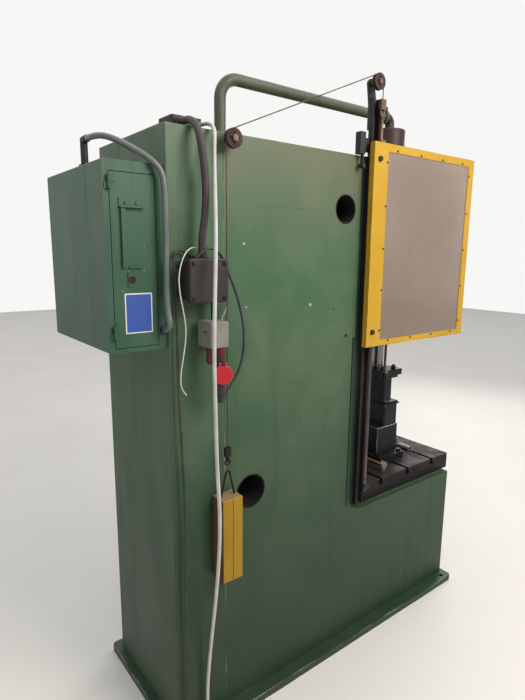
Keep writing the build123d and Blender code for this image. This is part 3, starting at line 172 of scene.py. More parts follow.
# %% [markdown]
# Nothing here is a picture file: dirt, wear and fading come from noise on the press's own
# coordinates, which never shows a seam or a repeat. `step` makes a mask of such a noise, by the
# smooth rise 3t^2 - 2t^3 between two levels, and `mix` lays a colour over another by a mask.

# %% Colours, noise and coordinates
def mix(tree, factor, first, second):
    """A colour between two colours."""
    node = add(tree, "Mix", {"Factor": factor}, data_type="RGBA")
    plug(tree, node.inputs[6], first)
    plug(tree, node.inputs[7], second)
    return node.outputs[2]


def step(tree, value, low, high):
    """0 below low and 1 above high, with a smooth rise between them."""
    inputs = {"Value": value, "From Min": low, "From Max": high}
    return add(tree, "MapRange", inputs, interpolation_type="SMOOTHSTEP").outputs[0]


def noise(tree, vector, scale, detail=4.0, roughness=0.55):
    """Fractal noise around 0.5."""
    inputs = {"Vector": vector, "Scale": scale, "Detail": detail, "Roughness": roughness}
    return add(tree, "TexNoise", inputs).outputs[0]


def split(tree, vector):
    """The three coordinates of a vector."""
    return add(tree, "SeparateXYZ", {"Vector": vector}).outputs


def stretch(tree, vector, factors):
    """The coordinates, scaled axis by axis."""
    return add(tree, "Mapping", {"Vector": vector, "Scale": factors}).outputs[0]


def srgb(*values):
    """A linear colour from screen values of 0 to 255."""
    linear = [v / 255 / 12.92 if v < 10 else ((v / 255 + 0.055) / 1.055) ** 2.4 for v in values]
    return (*linear, 1.0)


# %% [markdown]
# ## Shared effects
#
# Worn edges, old paint, handled steel and dusty plastic come back all over the press. Each could
# be built anew in every material, but a shader group is built once, has named inputs, and is
# placed in each material with that material's own values.

# %% Opening and closing a group
def new_group(name, inputs, outputs):
    """An empty shader group with named sockets; returns the tree and its given inputs."""
    tree = bpy.data.node_groups.new(name, "ShaderNodeTree")
    for label, kind, value in inputs:
        socket = tree.interface.new_socket(label, in_out="INPUT", socket_type="NodeSocket" + kind)
        if value is not None:
            socket.default_value = value
    for label, kind in outputs:
        tree.interface.new_socket(label, in_out="OUTPUT", socket_type="NodeSocket" + kind)
    return tree, tree.nodes.new("NodeGroupInput").outputs


def close_group(tree, **results):
    """Write the group's outputs."""
    out = tree.nodes.new("NodeGroupOutput")
    for label, value in results.items():
        plug(tree, out.inputs[label], value)


# %% [markdown]
# **Edge mask.** The paint is worn through along the press's corners. Blender can find edges by
# itself, from the bend at each vertex, but a flat CAD face has vertices only at its rim, and the
# wear would spread over all of it. So the edge is worked out from the piece's own box.
#
# On a box, the distance to the nearest edge is the second smallest of the three distances to its
# pairs of faces, median(a, b, c) = max(min(a, b), min(max(a, b), c)). Noise on that distance
# breaks the line up, and broad noise leaves whole stretches of an edge untouched, which is how
# paint wears off along a corner.

# %% Edge mask
tree, given = new_group(
    "edge_mask",
    [("Vector", "Vector", None), ("Low", "Vector", None), ("High", "Vector", None),
     ("Width", "Float", 0.004), ("Break", "Float", 0.8), ("Scale", "Float", 60.0)],
    [("Mask", "Float")])
at, low, high = (split(tree, given[label]) for label in ("Vector", "Low", "High"))
gaps = []
for k in range(3):
    near = calc(tree, "MINIMUM", less(tree, at[k], low[k]), less(tree, high[k], at[k]))
    gaps.append(calc(tree, "ABSOLUTE", near))
lesser = calc(tree, "MINIMUM", gaps[0], gaps[1])
greater = calc(tree, "MAXIMUM", gaps[0], gaps[1])
edge = calc(tree, "MAXIMUM", lesser, calc(tree, "MINIMUM", greater, gaps[2]))
rough = centred(tree, noise(tree, given["Vector"], given["Scale"], 5.0, 0.65), given["Break"])
shift = times(tree, rough, times(tree, given["Width"], 6.0))
worn = calc(tree, "DIVIDE", plus(tree, edge, shift), given["Width"])
stretches = step(tree, noise(tree, given["Vector"], 6.0, 3.0, 0.6), 0.42, 0.62)
close_group(tree, Mask=times(tree, inverse(tree, step(tree, worn, 0.6, 1.4)), stretches))
edge_group = tree
print("edge mask:", len(tree.nodes), "nodes")

# %% [markdown]
# ** Old paint.** The press was sprayed long ago. Its paint is mottled, has faint upright streaks, and
# is darkened towards the floor by painted shade. One even colour with a little noise would look like
# new plastic, so each of these is a layer of its own, laid over the last by its own mask.

# %% Old paint: fading, dirt and painted shade
tree, given = new_group(
    "old_paint",
    [("Vector", "Vector", None), ("Paint", "Color", (0.1, 0.2, 0.12, 1)),
     ("Faded", "Color", (0.2, 0.3, 0.2, 1)), ("Dirt", "Color", (0.05, 0.04, 0.03, 1)),
     ("Edges", "Float", 0.0), ("Bare", "Color", (0.12, 0.1, 0.08, 1)), ("Chips", "Float", 0.5),
     ("Grime", "Float", 0.4), ("Floor Shade", "Float", 0.0)],
    [("Color", "Color"), ("Roughness", "Float"), ("Height", "Float"), ("Swell", "Float")])
where = given["Vector"]
# The dark green of the painted shade low on the press.
shade_color = srgb(20, 34, 22)
broad = noise(tree, where, 1.7, 5.0, 0.5)
cloud = noise(tree, where, 7.0, 6.0, 0.6)
fine = noise(tree, where, 90.0, 4.0, 0.6)
streak = noise(tree, stretch(tree, where, (14.0, 14.0, 0.9)), 1.6, 4.0, 0.6)

mottled = times(tree, step(tree, broad, 0.35, 0.68), 0.65)
fade = plus(tree, mottled, times(tree, step(tree, cloud, 0.38, 0.7), 0.35))
color = mix(tree, fade, given["Paint"], given["Faded"])
soil = times(tree, step(tree, streak, 0.52, 0.8), given["Grime"])
blotches = times(tree, step(tree, cloud, 0.62, 0.8), times(tree, given["Grime"], 0.5))
soil = plus(tree, soil, blotches, clamp=True)
color = mix(tree, times(tree, soil, 0.55), color, given["Dirt"])
color = mix(tree, centred(tree, fine, 0.35, clamp=True), color, given["Faded"])
# Painted shade: the paint is darkened towards the floor, with a ragged upper edge.
level = plus(tree, split(tree, where)[2], times(tree, cloud, 0.3))
floor_shade = times(tree, inverse(tree, step(tree, level, 0.35, 1.95)), given["Floor Shade"])
color = mix(tree, floor_shade, color, shade_color)

# %% [markdown]
# Chips lie in the middles of Voronoi cells, where the distance to the cell's point is smallest.
# Fine noise on that distance makes their outline ragged, and broad noise keeps them to a few
# areas. Bare metal is duller and lies lower than paint, so chips and bare edges also change the
# roughness and the height. A slow swell is put out apart, for the thin sheets that need it.

# %% Old paint: chips, shine and relief
wide_cells = add(tree, "TexVoronoi", {"Vector": where, "Scale": 11.0, "Randomness": 1.0}).outputs[0]
small_cells = add(tree, "TexVoronoi", {"Vector": where, "Scale": 34.0, "Randomness": 1.0}).outputs[0]
chipped_area = step(tree, noise(tree, where, 3.1, 3.0, 0.5), 0.56, 0.66)
ragged = plus(tree, small_cells, centred(tree, fine, 0.35))
chip = times(tree, inverse(tree, step(tree, ragged, 0.07, 0.11)), chipped_area)
dots = inverse(tree, step(tree, wide_cells, 0.018, 0.03))
chip = times(tree, calc(tree, "MAXIMUM", chip, dots), given["Chips"])
bare = calc(tree, "MAXIMUM", chip, given["Edges"])
color = mix(tree, bare, color, given["Bare"])

shine = plus(tree, 0.36, times(tree, cloud, 0.2))
shine = plus(tree, shine, times(tree, soil, 0.25))
shine = plus(tree, shine, times(tree, bare, 0.15), clamp=True)
height = plus(tree, times(tree, fine, 0.12), times(tree, cloud, 0.3))
height = less(tree, height, times(tree, bare, 0.25))
swell = noise(tree, stretch(tree, where, (1.0, 1.0, 0.45)), 5.0, 1.0, 0.4)
close_group(tree, Color=color, Roughness=shine, Height=height, Swell=swell)
paint_group = tree
print("old paint:", len(tree.nodes), "nodes")

# %% [markdown]
# **Handled steel.** Rods, dies and clamps are bare metal, ground along one way, stained by oil and
# rubbed bright along their edges. The grain could be an anisotropic shader, but noise that is
# drawn out along one axis shows it from every side and is cheaper to render.

# %% Handled steel
tree, given = new_group(
    "handled_steel",
    [("Vector", "Vector", None), ("Steel", "Color", (0.5, 0.5, 0.5, 1)),
     ("Stain", "Color", (0.1, 0.08, 0.06, 1)), ("Grain", "Vector", (1.0, 1.0, 1.0)),
     ("Stained", "Float", 0.5), ("Edges", "Float", 0.0), ("Rub", "Color", (0.6, 0.58, 0.55, 1)),
     ("Base", "Float", 0.3)],
    [("Color", "Color"), ("Roughness", "Float"), ("Height", "Float")])
where = given["Vector"]
grained = add(tree, "VectorMath", {0: where, 1: given["Grain"]}, operation="MULTIPLY").outputs[0]
grain = noise(tree, grained, 160.0, 3.0, 0.6)
cloud = noise(tree, where, 13.0, 6.0, 0.62)
speck = noise(tree, where, 120.0, 4.0, 0.7)
stained = times(tree, step(tree, cloud, 0.42, 0.66), given["Stained"])
color = mix(tree, stained, given["Steel"], given["Stain"])
color = mix(tree, times(tree, step(tree, speck, 0.6, 0.75), 0.4), color, given["Stain"])
color = mix(tree, times(tree, given["Edges"], 0.85), color, given["Rub"])
shine = plus(tree, given["Base"], times(tree, stained, 0.3))
shine = plus(tree, shine, centred(tree, grain, 0.25), clamp=True)
height = plus(tree, times(tree, grain, 0.5), times(tree, speck, 0.3))
close_group(tree, Color=color, Roughness=shine, Height=height)
steel_group = tree
print("handled steel:", len(tree.nodes), "nodes")

# %% [markdown]
# **Dusty plastic.** Sockets, cables and rubber are moulded with a fine grain, and dust lies on them
# in soft clouds. Dust could be a layer of its own shader over the plastic, but here it only makes
# the colour paler and the surface rougher, and one mask does both.

# %% Dusty plastic
tree, given = new_group(
    "dusty_plastic",
    [("Vector", "Vector", None), ("Plastic", "Color", (0.1, 0.1, 0.1, 1)),
     ("Dusty", "Color", (0.3, 0.28, 0.25, 1)), ("Base", "Float", 0.45), ("Dust", "Float", 0.5)],
    [("Color", "Color"), ("Roughness", "Float"), ("Height", "Float")])
where = given["Vector"]
cloud = noise(tree, where, 16.0, 5.0, 0.6)
fine = noise(tree, where, 260.0, 3.0, 0.6)
dustiness = times(tree, step(tree, cloud, 0.38, 0.72), given["Dust"])
color = mix(tree, dustiness, given["Plastic"], given["Dusty"])
shine = plus(tree, given["Base"], times(tree, dustiness, 0.3), clamp=True)
close_group(tree, Color=color, Roughness=shine, Height=fine)
dust_group = tree
print("dusty plastic:", len(tree.nodes), "nodes")

# %% [markdown]
# ## Materials
#
# The Principled shader stays in each material. Constants such as metalness and coat are written on
# its own sockets, and only colour, roughness and the bump are linked. Patterns read the piece's
# Object coordinates. A UV map would have to be made for each CAD node, and its seams would show.

# %% Starting a material
def start_material(name, metallic=0.0, coat=0.0, coat_roughness=0.2, specular=0.5):
    """An empty material with a Principled shader; returns the material, its tree and the shader."""
    material = bpy.data.materials.new(name)
    material.use_nodes = True
    tree = material.node_tree
    shader = next(n for n in tree.nodes if n.type == "BSDF_PRINCIPLED")
    shader.inputs["Metallic"].default_value = metallic
    shader.inputs["Coat Weight"].default_value = coat
    shader.inputs["Coat Roughness"].default_value = coat_roughness
    shader.inputs["IOR"].default_value = 1.5
    shader.inputs["Specular IOR Level"].default_value = specular
    return material, tree, shader


def place(tree):
    """Object coordinates, which are the scene's metres for every piece here."""
    return add(tree, "TexCoord").outputs["Object"]


def group_node(tree, group, inputs):
    """One use of a shader group."""
    node = tree.nodes.new("ShaderNodeGroup")
    node.node_tree = group
    for key, value in inputs.items():
        plug(tree, node.inputs[key], value)
    return node


# %% [markdown]
# Every finish ends the same way: the group's colour and roughness go to the shader, and its height
# goes through a Bump node, which tilts the normals and leaves the mesh as it is.

# %% Worn edges and relief
def edges_of(tree, where, box, width, scale=60.0, uneven=0.8):
    """The edge mask of one box, as a socket."""
    low, high = box
    inputs = {"Vector": where, "Low": tuple(low), "High": tuple(high), "Width": width,
              "Break": uneven, "Scale": scale}
    return group_node(tree, edge_group, inputs).outputs[0]


def bump_into(tree, target, strength, distance, height):
    """A bump node that feeds one socket of normals."""
    bump = add(tree, "Bump", {"Strength": strength, "Distance": distance, "Height": height})
    tree.links.new(bump.outputs[0], target)
    return bump


def finish_surface(tree, shader, effect, bump, distance, where, extra=None):
    """Link an effect group's outputs to the shader; extra may change its colour by place."""
    color = effect.outputs["Color"]
    if extra:
        color = extra(tree, where, color)
    tree.links.new(color, shader.inputs["Base Color"])
    tree.links.new(effect.outputs["Roughness"], shader.inputs["Roughness"])
    return bump_into(tree, shader.inputs["Normal"], bump, distance, effect.outputs["Height"])


# %% [markdown]
# **Paint** covers the frame, the guard and the electric boxes. A low specular level keeps its dark
# colours deep, because the white surroundings would wash them out. Thin sheet is never quite flat,
# so `waves` puts the swell below the fine relief.

# %% Paint
dull = 0.28
paint_relief = 0.0015
swell_depth = 0.03


# One argument sets how much painted shade darkens the paint towards the floor.
def paint(name, color, faded, box=None, bare=srgb(66, 58, 50), dirt=srgb(38, 36, 30), edge=0.003,
          chips=0.6, grime=0.4, bump=0.25, floor_shade=0.0, extra=None, waves=0.0):
    """Old sprayed paint: box has the corners of its worn edges, and waves dent thin sheet."""
    material, tree, shader = start_material(name, specular=dull)
    where = place(tree)
    inputs = {"Vector": where, "Paint": color, "Faded": faded, "Dirt": dirt, "Bare": bare,
              "Chips": chips, "Grime": grime, "Floor Shade": floor_shade}
    if box:
        inputs["Edges"] = edges_of(tree, where, box, edge)
    effect = group_node(tree, paint_group, inputs)
    relief = finish_surface(tree, shader, effect, bump, paint_relief, where, extra)
    if waves:
        bump_into(tree, relief.inputs["Normal"], waves, swell_depth, effect.outputs["Swell"])
    return material


# %% [markdown]
# **Steel** has a metallic value that falls as the metal is dirtier: a die black with oil reflects
# its surroundings much less than a clean shaft.

# %% Steel
satin = 0.3
fine_relief = 0.0006


def steel(name, color, stain, grain=(1.0, 1.0, 1.0), stained=0.5, box=None,
          rub=srgb(170, 165, 158), base=0.3, metallic=1.0, edge=0.002, bump=0.15, extra=None):
    """Handled metal; box gives the corners whose edges are rubbed bright."""
    material, tree, shader = start_material(name, metallic=metallic, specular=satin)
    where = place(tree)
    inputs = {"Vector": where, "Steel": color, "Stain": stain, "Grain": grain,
              "Stained": stained, "Rub": rub, "Base": base}
    if box:
        inputs["Edges"] = edges_of(tree, where, box, edge, scale=90.0, uneven=0.5)
    effect = group_node(tree, steel_group, inputs)
    finish_surface(tree, shader, effect, bump, fine_relief, where, extra)
    return material


# %% [markdown]
# **Plastic and rubber** get the dust group. A thin coat can be put over it, for a lid that is wiped
# or a hose that is smooth.

# %% Plastic and rubber
def plastic(name, color, dust_and_top_light, roughness=0.45, coat=0.0, dust=0.5):
    """Moulded plastic or rubber with a fine grain and uneven dust."""
    material, tree, shader = start_material(name, coat=coat, coat_roughness=0.25, specular=satin)
    where = place(tree)
    inputs = {"Vector": where, "Plastic": color, "Dusty": dust_and_top_light, "Base": roughness, "Dust": dust}
    effect = group_node(tree, dust_group, inputs)
    finish_surface(tree, shader, effect, 0.2, fine_relief, where)
    return material


# %% [markdown]
# A CAD node arrives with a plain material. `dress` puts the finish in its place and notes it, so
# that the cells below can say which nodes still have none.

# %% Dressing a CAD node
finishes = {}


def dress(node, material):
    """Give a CAD node one material in all its slots."""
    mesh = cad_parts[node].data
    mesh.materials.clear()
    mesh.materials.append(material)
    finishes[node] = material.name


# %% [markdown]
# ### Green and brown paint
#
# The column's left side is the largest surface in the photograph. Painted light makes its upper part
# paler, a level joint shows faintly through the paint, and there are a few larger marks: pale chips,
# and black dots of painted shade for small holes. They could be painted by hand on a picture, but as
# masks at named places they need no file. Each mark has a place (y, z), a radius and a colour.

# %% The left side's painted light, joint and marks
def patch_of(tree, where, axis, low, high, soft=0.0004):
    """1 where one coordinate lies between two values."""
    value = split(tree, where)["XYZ".index(axis)]
    inside = inverse(tree, step(tree, value, high - soft, high + soft))
    return times(tree, step(tree, value, low - soft, low + soft), inside)


# The black marks are painted shade for small holes; the pale ones are chips in the paint.
hole_shade, pale_mark = srgb(16, 18, 16), srgb(150, 166, 142)
panel_marks = [
    (-0.358, 1.374, 0.0078, hole_shade), (-0.289, 1.438, 0.0036, hole_shade),
    (-0.287, 1.483, 0.0036, hole_shade), (-0.355, 1.191, 0.0036, hole_shade),
    (-0.164, 1.506, 0.0062, pale_mark), (0.134, 1.720, 0.0046, pale_mark),
    (0.124, 1.513, 0.0036, pale_mark),
]
top_light_from, top_light_to = 1.95, 2.5
joint_height, joint_y0, joint_y1 = 1.842, -0.22, 0.10
joint_half, joint_blur, joint_fade = 0.0008, 0.0022, 0.05
uneven_line = 0.004


def left_panel(tree, where, color):
    """Painted light on the upper part, a faint level joint under the paint, and the marks."""
    upright = split(tree, where)[2]
    cloud = noise(tree, where, 2.2, 5.0, 0.6)
    # Painted light: the upper part is made paler, as if lit from above.
    dust_and_top_light = step(tree, plus(tree, upright, times(tree, cloud, 0.7)), top_light_from, top_light_to)
    color = mix(tree, times(tree, dust_and_top_light, 0.55), color, srgb(108, 98, 80))
    height = plus(tree, upright, centred(tree, noise(tree, where, 5.0, 2.0), uneven_line))
    off = calc(tree, "ABSOLUTE", less(tree, height, joint_height))
    along = patch_of(tree, where, "Y", joint_y0, joint_y1, joint_fade)
    line = times(tree, inverse(tree, step(tree, off, joint_half, joint_blur)), along)
    color = mix(tree, times(tree, line, 0.45), color, srgb(52, 66, 50))
    ragged = centred(tree, noise(tree, where, 160.0, 3.0), uneven_line)
    flat = stretch(tree, where, (0.0, 1.0, 1.0))
    for y, z, radius, tone in panel_marks:
        away = add(tree, "VectorMath", {0: flat, 1: (0.0, y, z)}, operation="DISTANCE")
        distance = plus(tree, away.outputs["Value"], ragged)
        mark = inverse(tree, step(tree, distance, radius * 0.8, radius * 1.1))
        color = mix(tree, mark, color, tone)
    return color


# %% [markdown]
# The frame is one green, and each piece gets a material of its own, because the worn edges lie on
# that piece's box. The base plate is knocked the most, so its wear is the widest.

# %% Green paint
green = srgb(60, 92, 66)
green_faded = srgb(84, 104, 79)
# Worn edges show a pale primer, and partly it is a painted highlight along the frame's edges.
primer_and_edge_highlight = srgb(116, 122, 102)
green_edges = {
    "side_plate_left": 0.0014, "side_plate_right": 0.0014, "column_webs": 0.0014,
    "head_box": 0.002, "bed_box": 0.002, "base_plate": 0.003, "rear_cover": 0.0016,
    "top_cover": 0.002, "oil_tank": 0.002,
}
# The frame and the cabinet are darkened towards the floor by painted shade.
for node, width in green_edges.items():
    dress(node, paint(f"green_{node}", green, green_faded, box=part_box(node), edge=width, bare=primer_and_edge_highlight,
                      floor_shade=0.72, extra=left_panel if node == "side_plate_left" else None,
                      waves=0.55 if node == "rear_cover" else 0.0))
for node in ("cabinet_box", "cabinet_door"):
    dress(node, paint(f"green_{node}", srgb(40, 76, 56), srgb(62, 92, 74), box=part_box(node),
                      edge=0.0014, bare=primer_and_edge_highlight, grime=0.5, floor_shade=0.3, waves=0.2))
dress("pressure_pipe", paint("green_pipe", srgb(62, 74, 60), srgb(92, 92, 78), grime=0.9))
print("green paint:", len(finishes), "nodes")

# %% [markdown]
# The cylinder, its elbow and the switch box are a red-brown that is almost black. They are no part
# of the frame's colour, so they get no painted shade towards the floor and no primer under their
# paint.

# %% Brown paint
for node in ("cylinder_barrel", "pipe_elbow"):
    dress(node, paint(f"brown_{node}", srgb(37, 24, 22), srgb(58, 42, 37), grime=0.6,
                      dirt=srgb(26, 19, 18)))
dress("switch_box", paint("switch_paint", srgb(36, 31, 33), srgb(54, 47, 47),
                          box=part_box("switch_box"), grime=0.7, bare=srgb(100, 90, 82), edge=0.0015))

# %% [markdown]
# ### Yellow, black and grey paint
#
# The guard and its counterweight are yellow, so that a moving part is seen. The rail is black, but
# where it laps onto the column it was sprayed green with it, and painted shade darkens that green,
# most on the lap. One node then shows two colours, and a mask by place gives them without cutting
# the mesh.

# %% Dust and painted shade on the weight, and shaded green on the rail
face_depth = 0.001
flat_depth = 0.0038
lap_from, lap_to = -0.4102, -0.390


def dusty_shaded_weight(tree, where, color):
    """Tan dust on the weight's top and painted shade, a brown, on its rear side."""
    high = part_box("counterweight")[1]
    uneven = plus(tree, 0.7, times(tree, noise(tree, where, 30.0), 0.4), clamp=True)
    back = patch_of(tree, where, "Y", high.y - face_depth, high.y + 10 * face_depth)
    top = patch_of(tree, where, "Z", high.z - face_depth, high.z + 10 * face_depth)
    # Painted shade: the rear side is darkened to a brown.
    color = mix(tree, times(tree, back, uneven), color, srgb(84, 62, 30))
    return mix(tree, times(tree, top, uneven), color, srgb(138, 118, 88))


def green_flange_in_shade(tree, where, color):
    """The rail's flat and its lap on the column carry the frame's green, darkened by painted shade."""
    low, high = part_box("side_plate_left")
    flat = patch_of(tree, where, "X", low.x - flat_depth, high.x)
    lap = patch_of(tree, where, "Y", lap_from, lap_to)
    # Painted shade: the flat is a darker green than the frame, and the lap darker still.
    return mix(tree, lap, mix(tree, flat, color, srgb(46, 70, 52)), srgb(32, 55, 38))


# %% [markdown]
# Yellow paint shows every scratch dark, so its bare colour is a brown rust and its edges are worn
# in a narrow line.

# %% Yellow, black and grey paint
dress("counterweight", paint("weight_paint", srgb(144, 110, 12), srgb(160, 128, 28),
                             box=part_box("counterweight"), grime=0.7, bare=srgb(110, 84, 50),
                             edge=0.0016, dirt=srgb(84, 62, 36), extra=dusty_shaded_weight))
dress("guard_frame", paint("yellow_frame", srgb(178, 138, 28), srgb(192, 152, 54),
                           box=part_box("guard_frame"), grime=0.3, dirt=srgb(112, 84, 38),
                           bare=srgb(92, 66, 40), edge=0.0012))
for node in ("guard_rail", "guard_guides"):
    dress(node, paint(f"black_{node}", srgb(24, 23, 25), srgb(50, 44, 42), box=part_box(node),
                      edge=0.0012, bare=srgb(96, 84, 76), grime=0.6, dirt=srgb(60, 48, 40),
                      extra=green_flange_in_shade if node == "guard_rail" else None))
dress("motor", paint("grey_motor", srgb(60, 66, 68), srgb(88, 92, 90), box=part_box("motor"),
                     grime=0.6, edge=0.0015))
dress("limit_switch", paint("black_switch", srgb(26, 25, 28), srgb(46, 42, 42), grime=0.6))
dress("contactor_tray", paint("tray_grey", srgb(150, 150, 146), srgb(170, 170, 164), chips=0.2,
                              grime=0.3))
print("painted:", len(finishes), "nodes")

# %% [markdown]
# ### Metal
#
# The table is worked clean on top and black with oil on its sides and in its slots. The front clamp
# bar is grey among rusty ones. Each of these is a change of colour by place within one node.

# %% Oil on the table and the grey clamp bar
top_skin = 0.004
bar_y0, bar_y1 = -1.2, -1.0
stop_y0, stop_y1 = -0.9, -0.6
nut_x0, nut_x1 = -0.175, -0.155


def dark_below(tree, where, color):
    """Oil and dirt on the table's sides and in its slots, below the worked top."""
    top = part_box("table")[1].z
    below = patch_of(tree, where, "Z", -1.0, top - top_skin, 0.002)
    return mix(tree, times(tree, below, 0.8), color, srgb(18, 14, 16))


def bar_and_stop(tree, where, color):
    """The clamp bar in front is grey steel, and the stop's end nut is bare."""
    grey = patch_of(tree, where, "Y", bar_y0, bar_y1)
    end = patch_of(tree, where, "X", nut_x0, nut_x1)
    nut = times(tree, end, patch_of(tree, where, "Y", stop_y0, stop_y1))
    return mix(tree, calc(tree, "MAXIMUM", grey, nut), color, srgb(126, 124, 124))


# %% [markdown]
# The dies are black steel with bright edges, the hanger and the axles are brown with rust, and the
# drive shaft, the valve block and the piston rod are cleaner. The grain's factors stretch it: a
# small factor draws it out along that axis, so the table's grain runs along X, the rods' along Z.

# %% Steel pieces
along_x, along_z = (0.05, 1.0, 1.0), (1.0, 1.0, 0.04)
for node in ("riser_plate", "die_block", "lower_die", "upper_die", "tool_plate", "cylinder_gland"):
    dress(node, steel(f"die_{node}", srgb(19, 18, 23), srgb(12, 11, 14), box=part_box(node), base=0.4,
                      stained=0.7, metallic=0.2, rub=srgb(156, 154, 156), edge=0.0026))
dress("table", steel("table_steel", srgb(31, 23, 22), srgb(20, 15, 14), grain=along_x,
                     box=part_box("table"), stained=0.7, base=0.55, metallic=0.2,
                     rub=srgb(78, 68, 64), edge=0.0014, extra=dark_below))
dress("table_clamps", steel("clamp_steel", srgb(118, 92, 70), srgb(62, 46, 36), base=0.44,
                            metallic=0.7, extra=bar_and_stop))
for node in ("guard_hanger", "pulley_axles", "anti_turn_rod"):
    dress(node, steel(f"worn_{node}", srgb(112, 90, 72), srgb(58, 42, 34), stained=0.6, base=0.44,
                      metallic=0.8))
for node in ("front_pulley", "rear_pulley"):
    dress(node, steel(f"wheel_{node}", srgb(56, 38, 35), srgb(30, 21, 20), stained=0.7, base=0.5,
                      metallic=0.2))
for node in ("drive_shaft", "valve_block"):
    dress(node, steel(f"machined_{node}", srgb(150, 148, 144), srgb(42, 34, 30), stained=0.3))
dress("pump", steel("pump_cast", srgb(76, 76, 78), srgb(40, 36, 34), base=0.55, metallic=0.6))
dark_steels = {"guard_screws": srgb(74, 50, 38), "weight_bail": srgb(52, 42, 36),
               "door_lock": srgb(58, 40, 33)}
for node, tone in dark_steels.items():
    dress(node, steel(f"dark_{node}", tone, srgb(30, 24, 20), stained=0.6, base=0.5, metallic=0.7))
dress("piston_rod", steel("piston_steel", srgb(150, 146, 148), srgb(40, 36, 38), grain=along_z,
                          stained=0.75, base=0.2, bump=0.05))
dress("guide_rod", steel("guide_steel", srgb(96, 88, 86), srgb(62, 52, 48), grain=along_z,
                         bump=0.05))
print("painted or steel:", len(finishes), "nodes")

# %% [markdown]
# ### Plastic, the transport tubes in painted shade and the guard's cloudy pane
#
# The sockets are a dull dark red, and the connector's lid is a fresher red. The tubes through the
# column get a near-black rough finish instead of paint: painted shade for the dark inside of the holes.

# %% Plastic pieces and the tubes
# The tubes' near-black colour is painted shade.
dress("transport_tubes", plastic("tube_painted_shade", srgb(13, 12, 14), srgb(30, 26, 24), 0.8))
dress("red_sockets", plastic("socket_red", srgb(92, 26, 34), srgb(84, 52, 50), 0.42))
dress("connector_lid", plastic("lid_red", srgb(176, 28, 36), srgb(158, 54, 54), 0.35, coat=0.3,
                               dust=0.3))
dress("connector_body", plastic("connector_dark", srgb(48, 40, 42), srgb(78, 66, 62), 0.5))
dress("cable_glands", plastic("gland_dark", srgb(34, 32, 34), srgb(62, 54, 52), 0.5))
dress("socket_box", plastic("socket_grey", srgb(124, 126, 124), srgb(118, 106, 86), 0.5, dust=0.8))

# %% [markdown]
# The guard's pane was clear once, and years of oil mist and wiping have made it cloudy. Full
# transmission would show the table sharply behind it. A pale base colour with some transmission
# and a high roughness lets only a blurred tone through, as the real pane does.

# %% The guard's pane
material, tree, shader = start_material("clear_pane", coat=0.6, coat_roughness=0.12)
where = place(tree)
haze = noise(tree, where, 2.0, 3.0, 0.5)
scratch = noise(tree, stretch(tree, where, (1.0, 1.0, 0.15)), 150.0, 3.0, 0.6)
cloudy = step(tree, plus(tree, times(tree, haze, 0.7), times(tree, scratch, 0.3)), 0.36, 0.66)
pane_color = mix(tree, cloudy, srgb(140, 121, 107), srgb(158, 141, 128))
tree.links.new(pane_color, shader.inputs["Base Color"])
shader.inputs["Transmission Weight"].default_value = 0.4
tree.links.new(plus(tree, 0.34, times(tree, haze, 0.2)), shader.inputs["Roughness"])
dents = plus(tree, haze, times(tree, scratch, 0.2))
bump_into(tree, shader.inputs["Normal"], strength=0.06, distance=0.001, height=dents)
dress("guard_pane", material)
print("without a finish, and replaced below:", sorted(set(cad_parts) - set(finishes)))

# %% [markdown]
# ## Cords
#
# Six cords hang on the press's left side, towards the rear: the supply's conduit and two cables,
# the plug's cable, a thin wire and the cabinet's hose. Each could be a tube worked out with numpy,
# as the ropes below are, but a cord has no pattern along its length, and a curve with a bevel is
# round by itself and keeps its route as a short list.
#
# Each cord is a NURBS curve of order 3 whose control points are its route. The order and the
# end-point setting come after the points, because a new spline has too few points for them.

# %% A cord along its route
def cord_curve(name, route, diameter):
    """A round cord along a smooth curve."""
    data = bpy.data.curves.new(name, "CURVE")
    data.dimensions = "3D"
    data.bevel_depth = diameter / 2
    data.bevel_resolution = 5
    data.resolution_u = 10
    data.use_fill_caps = True
    spline = data.splines.new("NURBS")
    spline.points.add(len(route) - 1)
    for point, place_m in zip(spline.points, route):
        point.co = (*place_m, 1.0)
    spline.order_u = 3
    spline.use_endpoint_u = True
    spline.use_smooth = True
    curve = bpy.data.objects.new(name, data)
    bpy.context.scene.collection.objects.link(curve)
    return curve


# %% [markdown]
# The cords differ more in colour than in finish, so they share the plastic of the sockets.

# %% Rubber and sheaths
black_rubber = plastic("rubber_black", srgb(44, 46, 46), srgb(84, 82, 74), 0.42, dust=0.45)
conduit_rubber = plastic("conduit_grey", srgb(58, 50, 52), srgb(84, 74, 72), 0.5, dust=0.6)
white_rubber = plastic("rubber_white", srgb(190, 190, 190), srgb(156, 150, 142), 0.45, dust=0.5)
cream_sheath = plastic("wire_cream", srgb(204, 202, 190), srgb(176, 168, 152), 0.45, dust=0.4)
grey_hose = plastic("hose_grey", srgb(90, 98, 97), srgb(116, 119, 114), 0.34, coat=0.3, dust=0.4)

# %% [markdown]
# A cord's row holds its diameter, length, stiffness, material and slot, and then its route. The
# route's points are those of the CAD model, so each cord lies where its solid did and ends in the
# same glands.

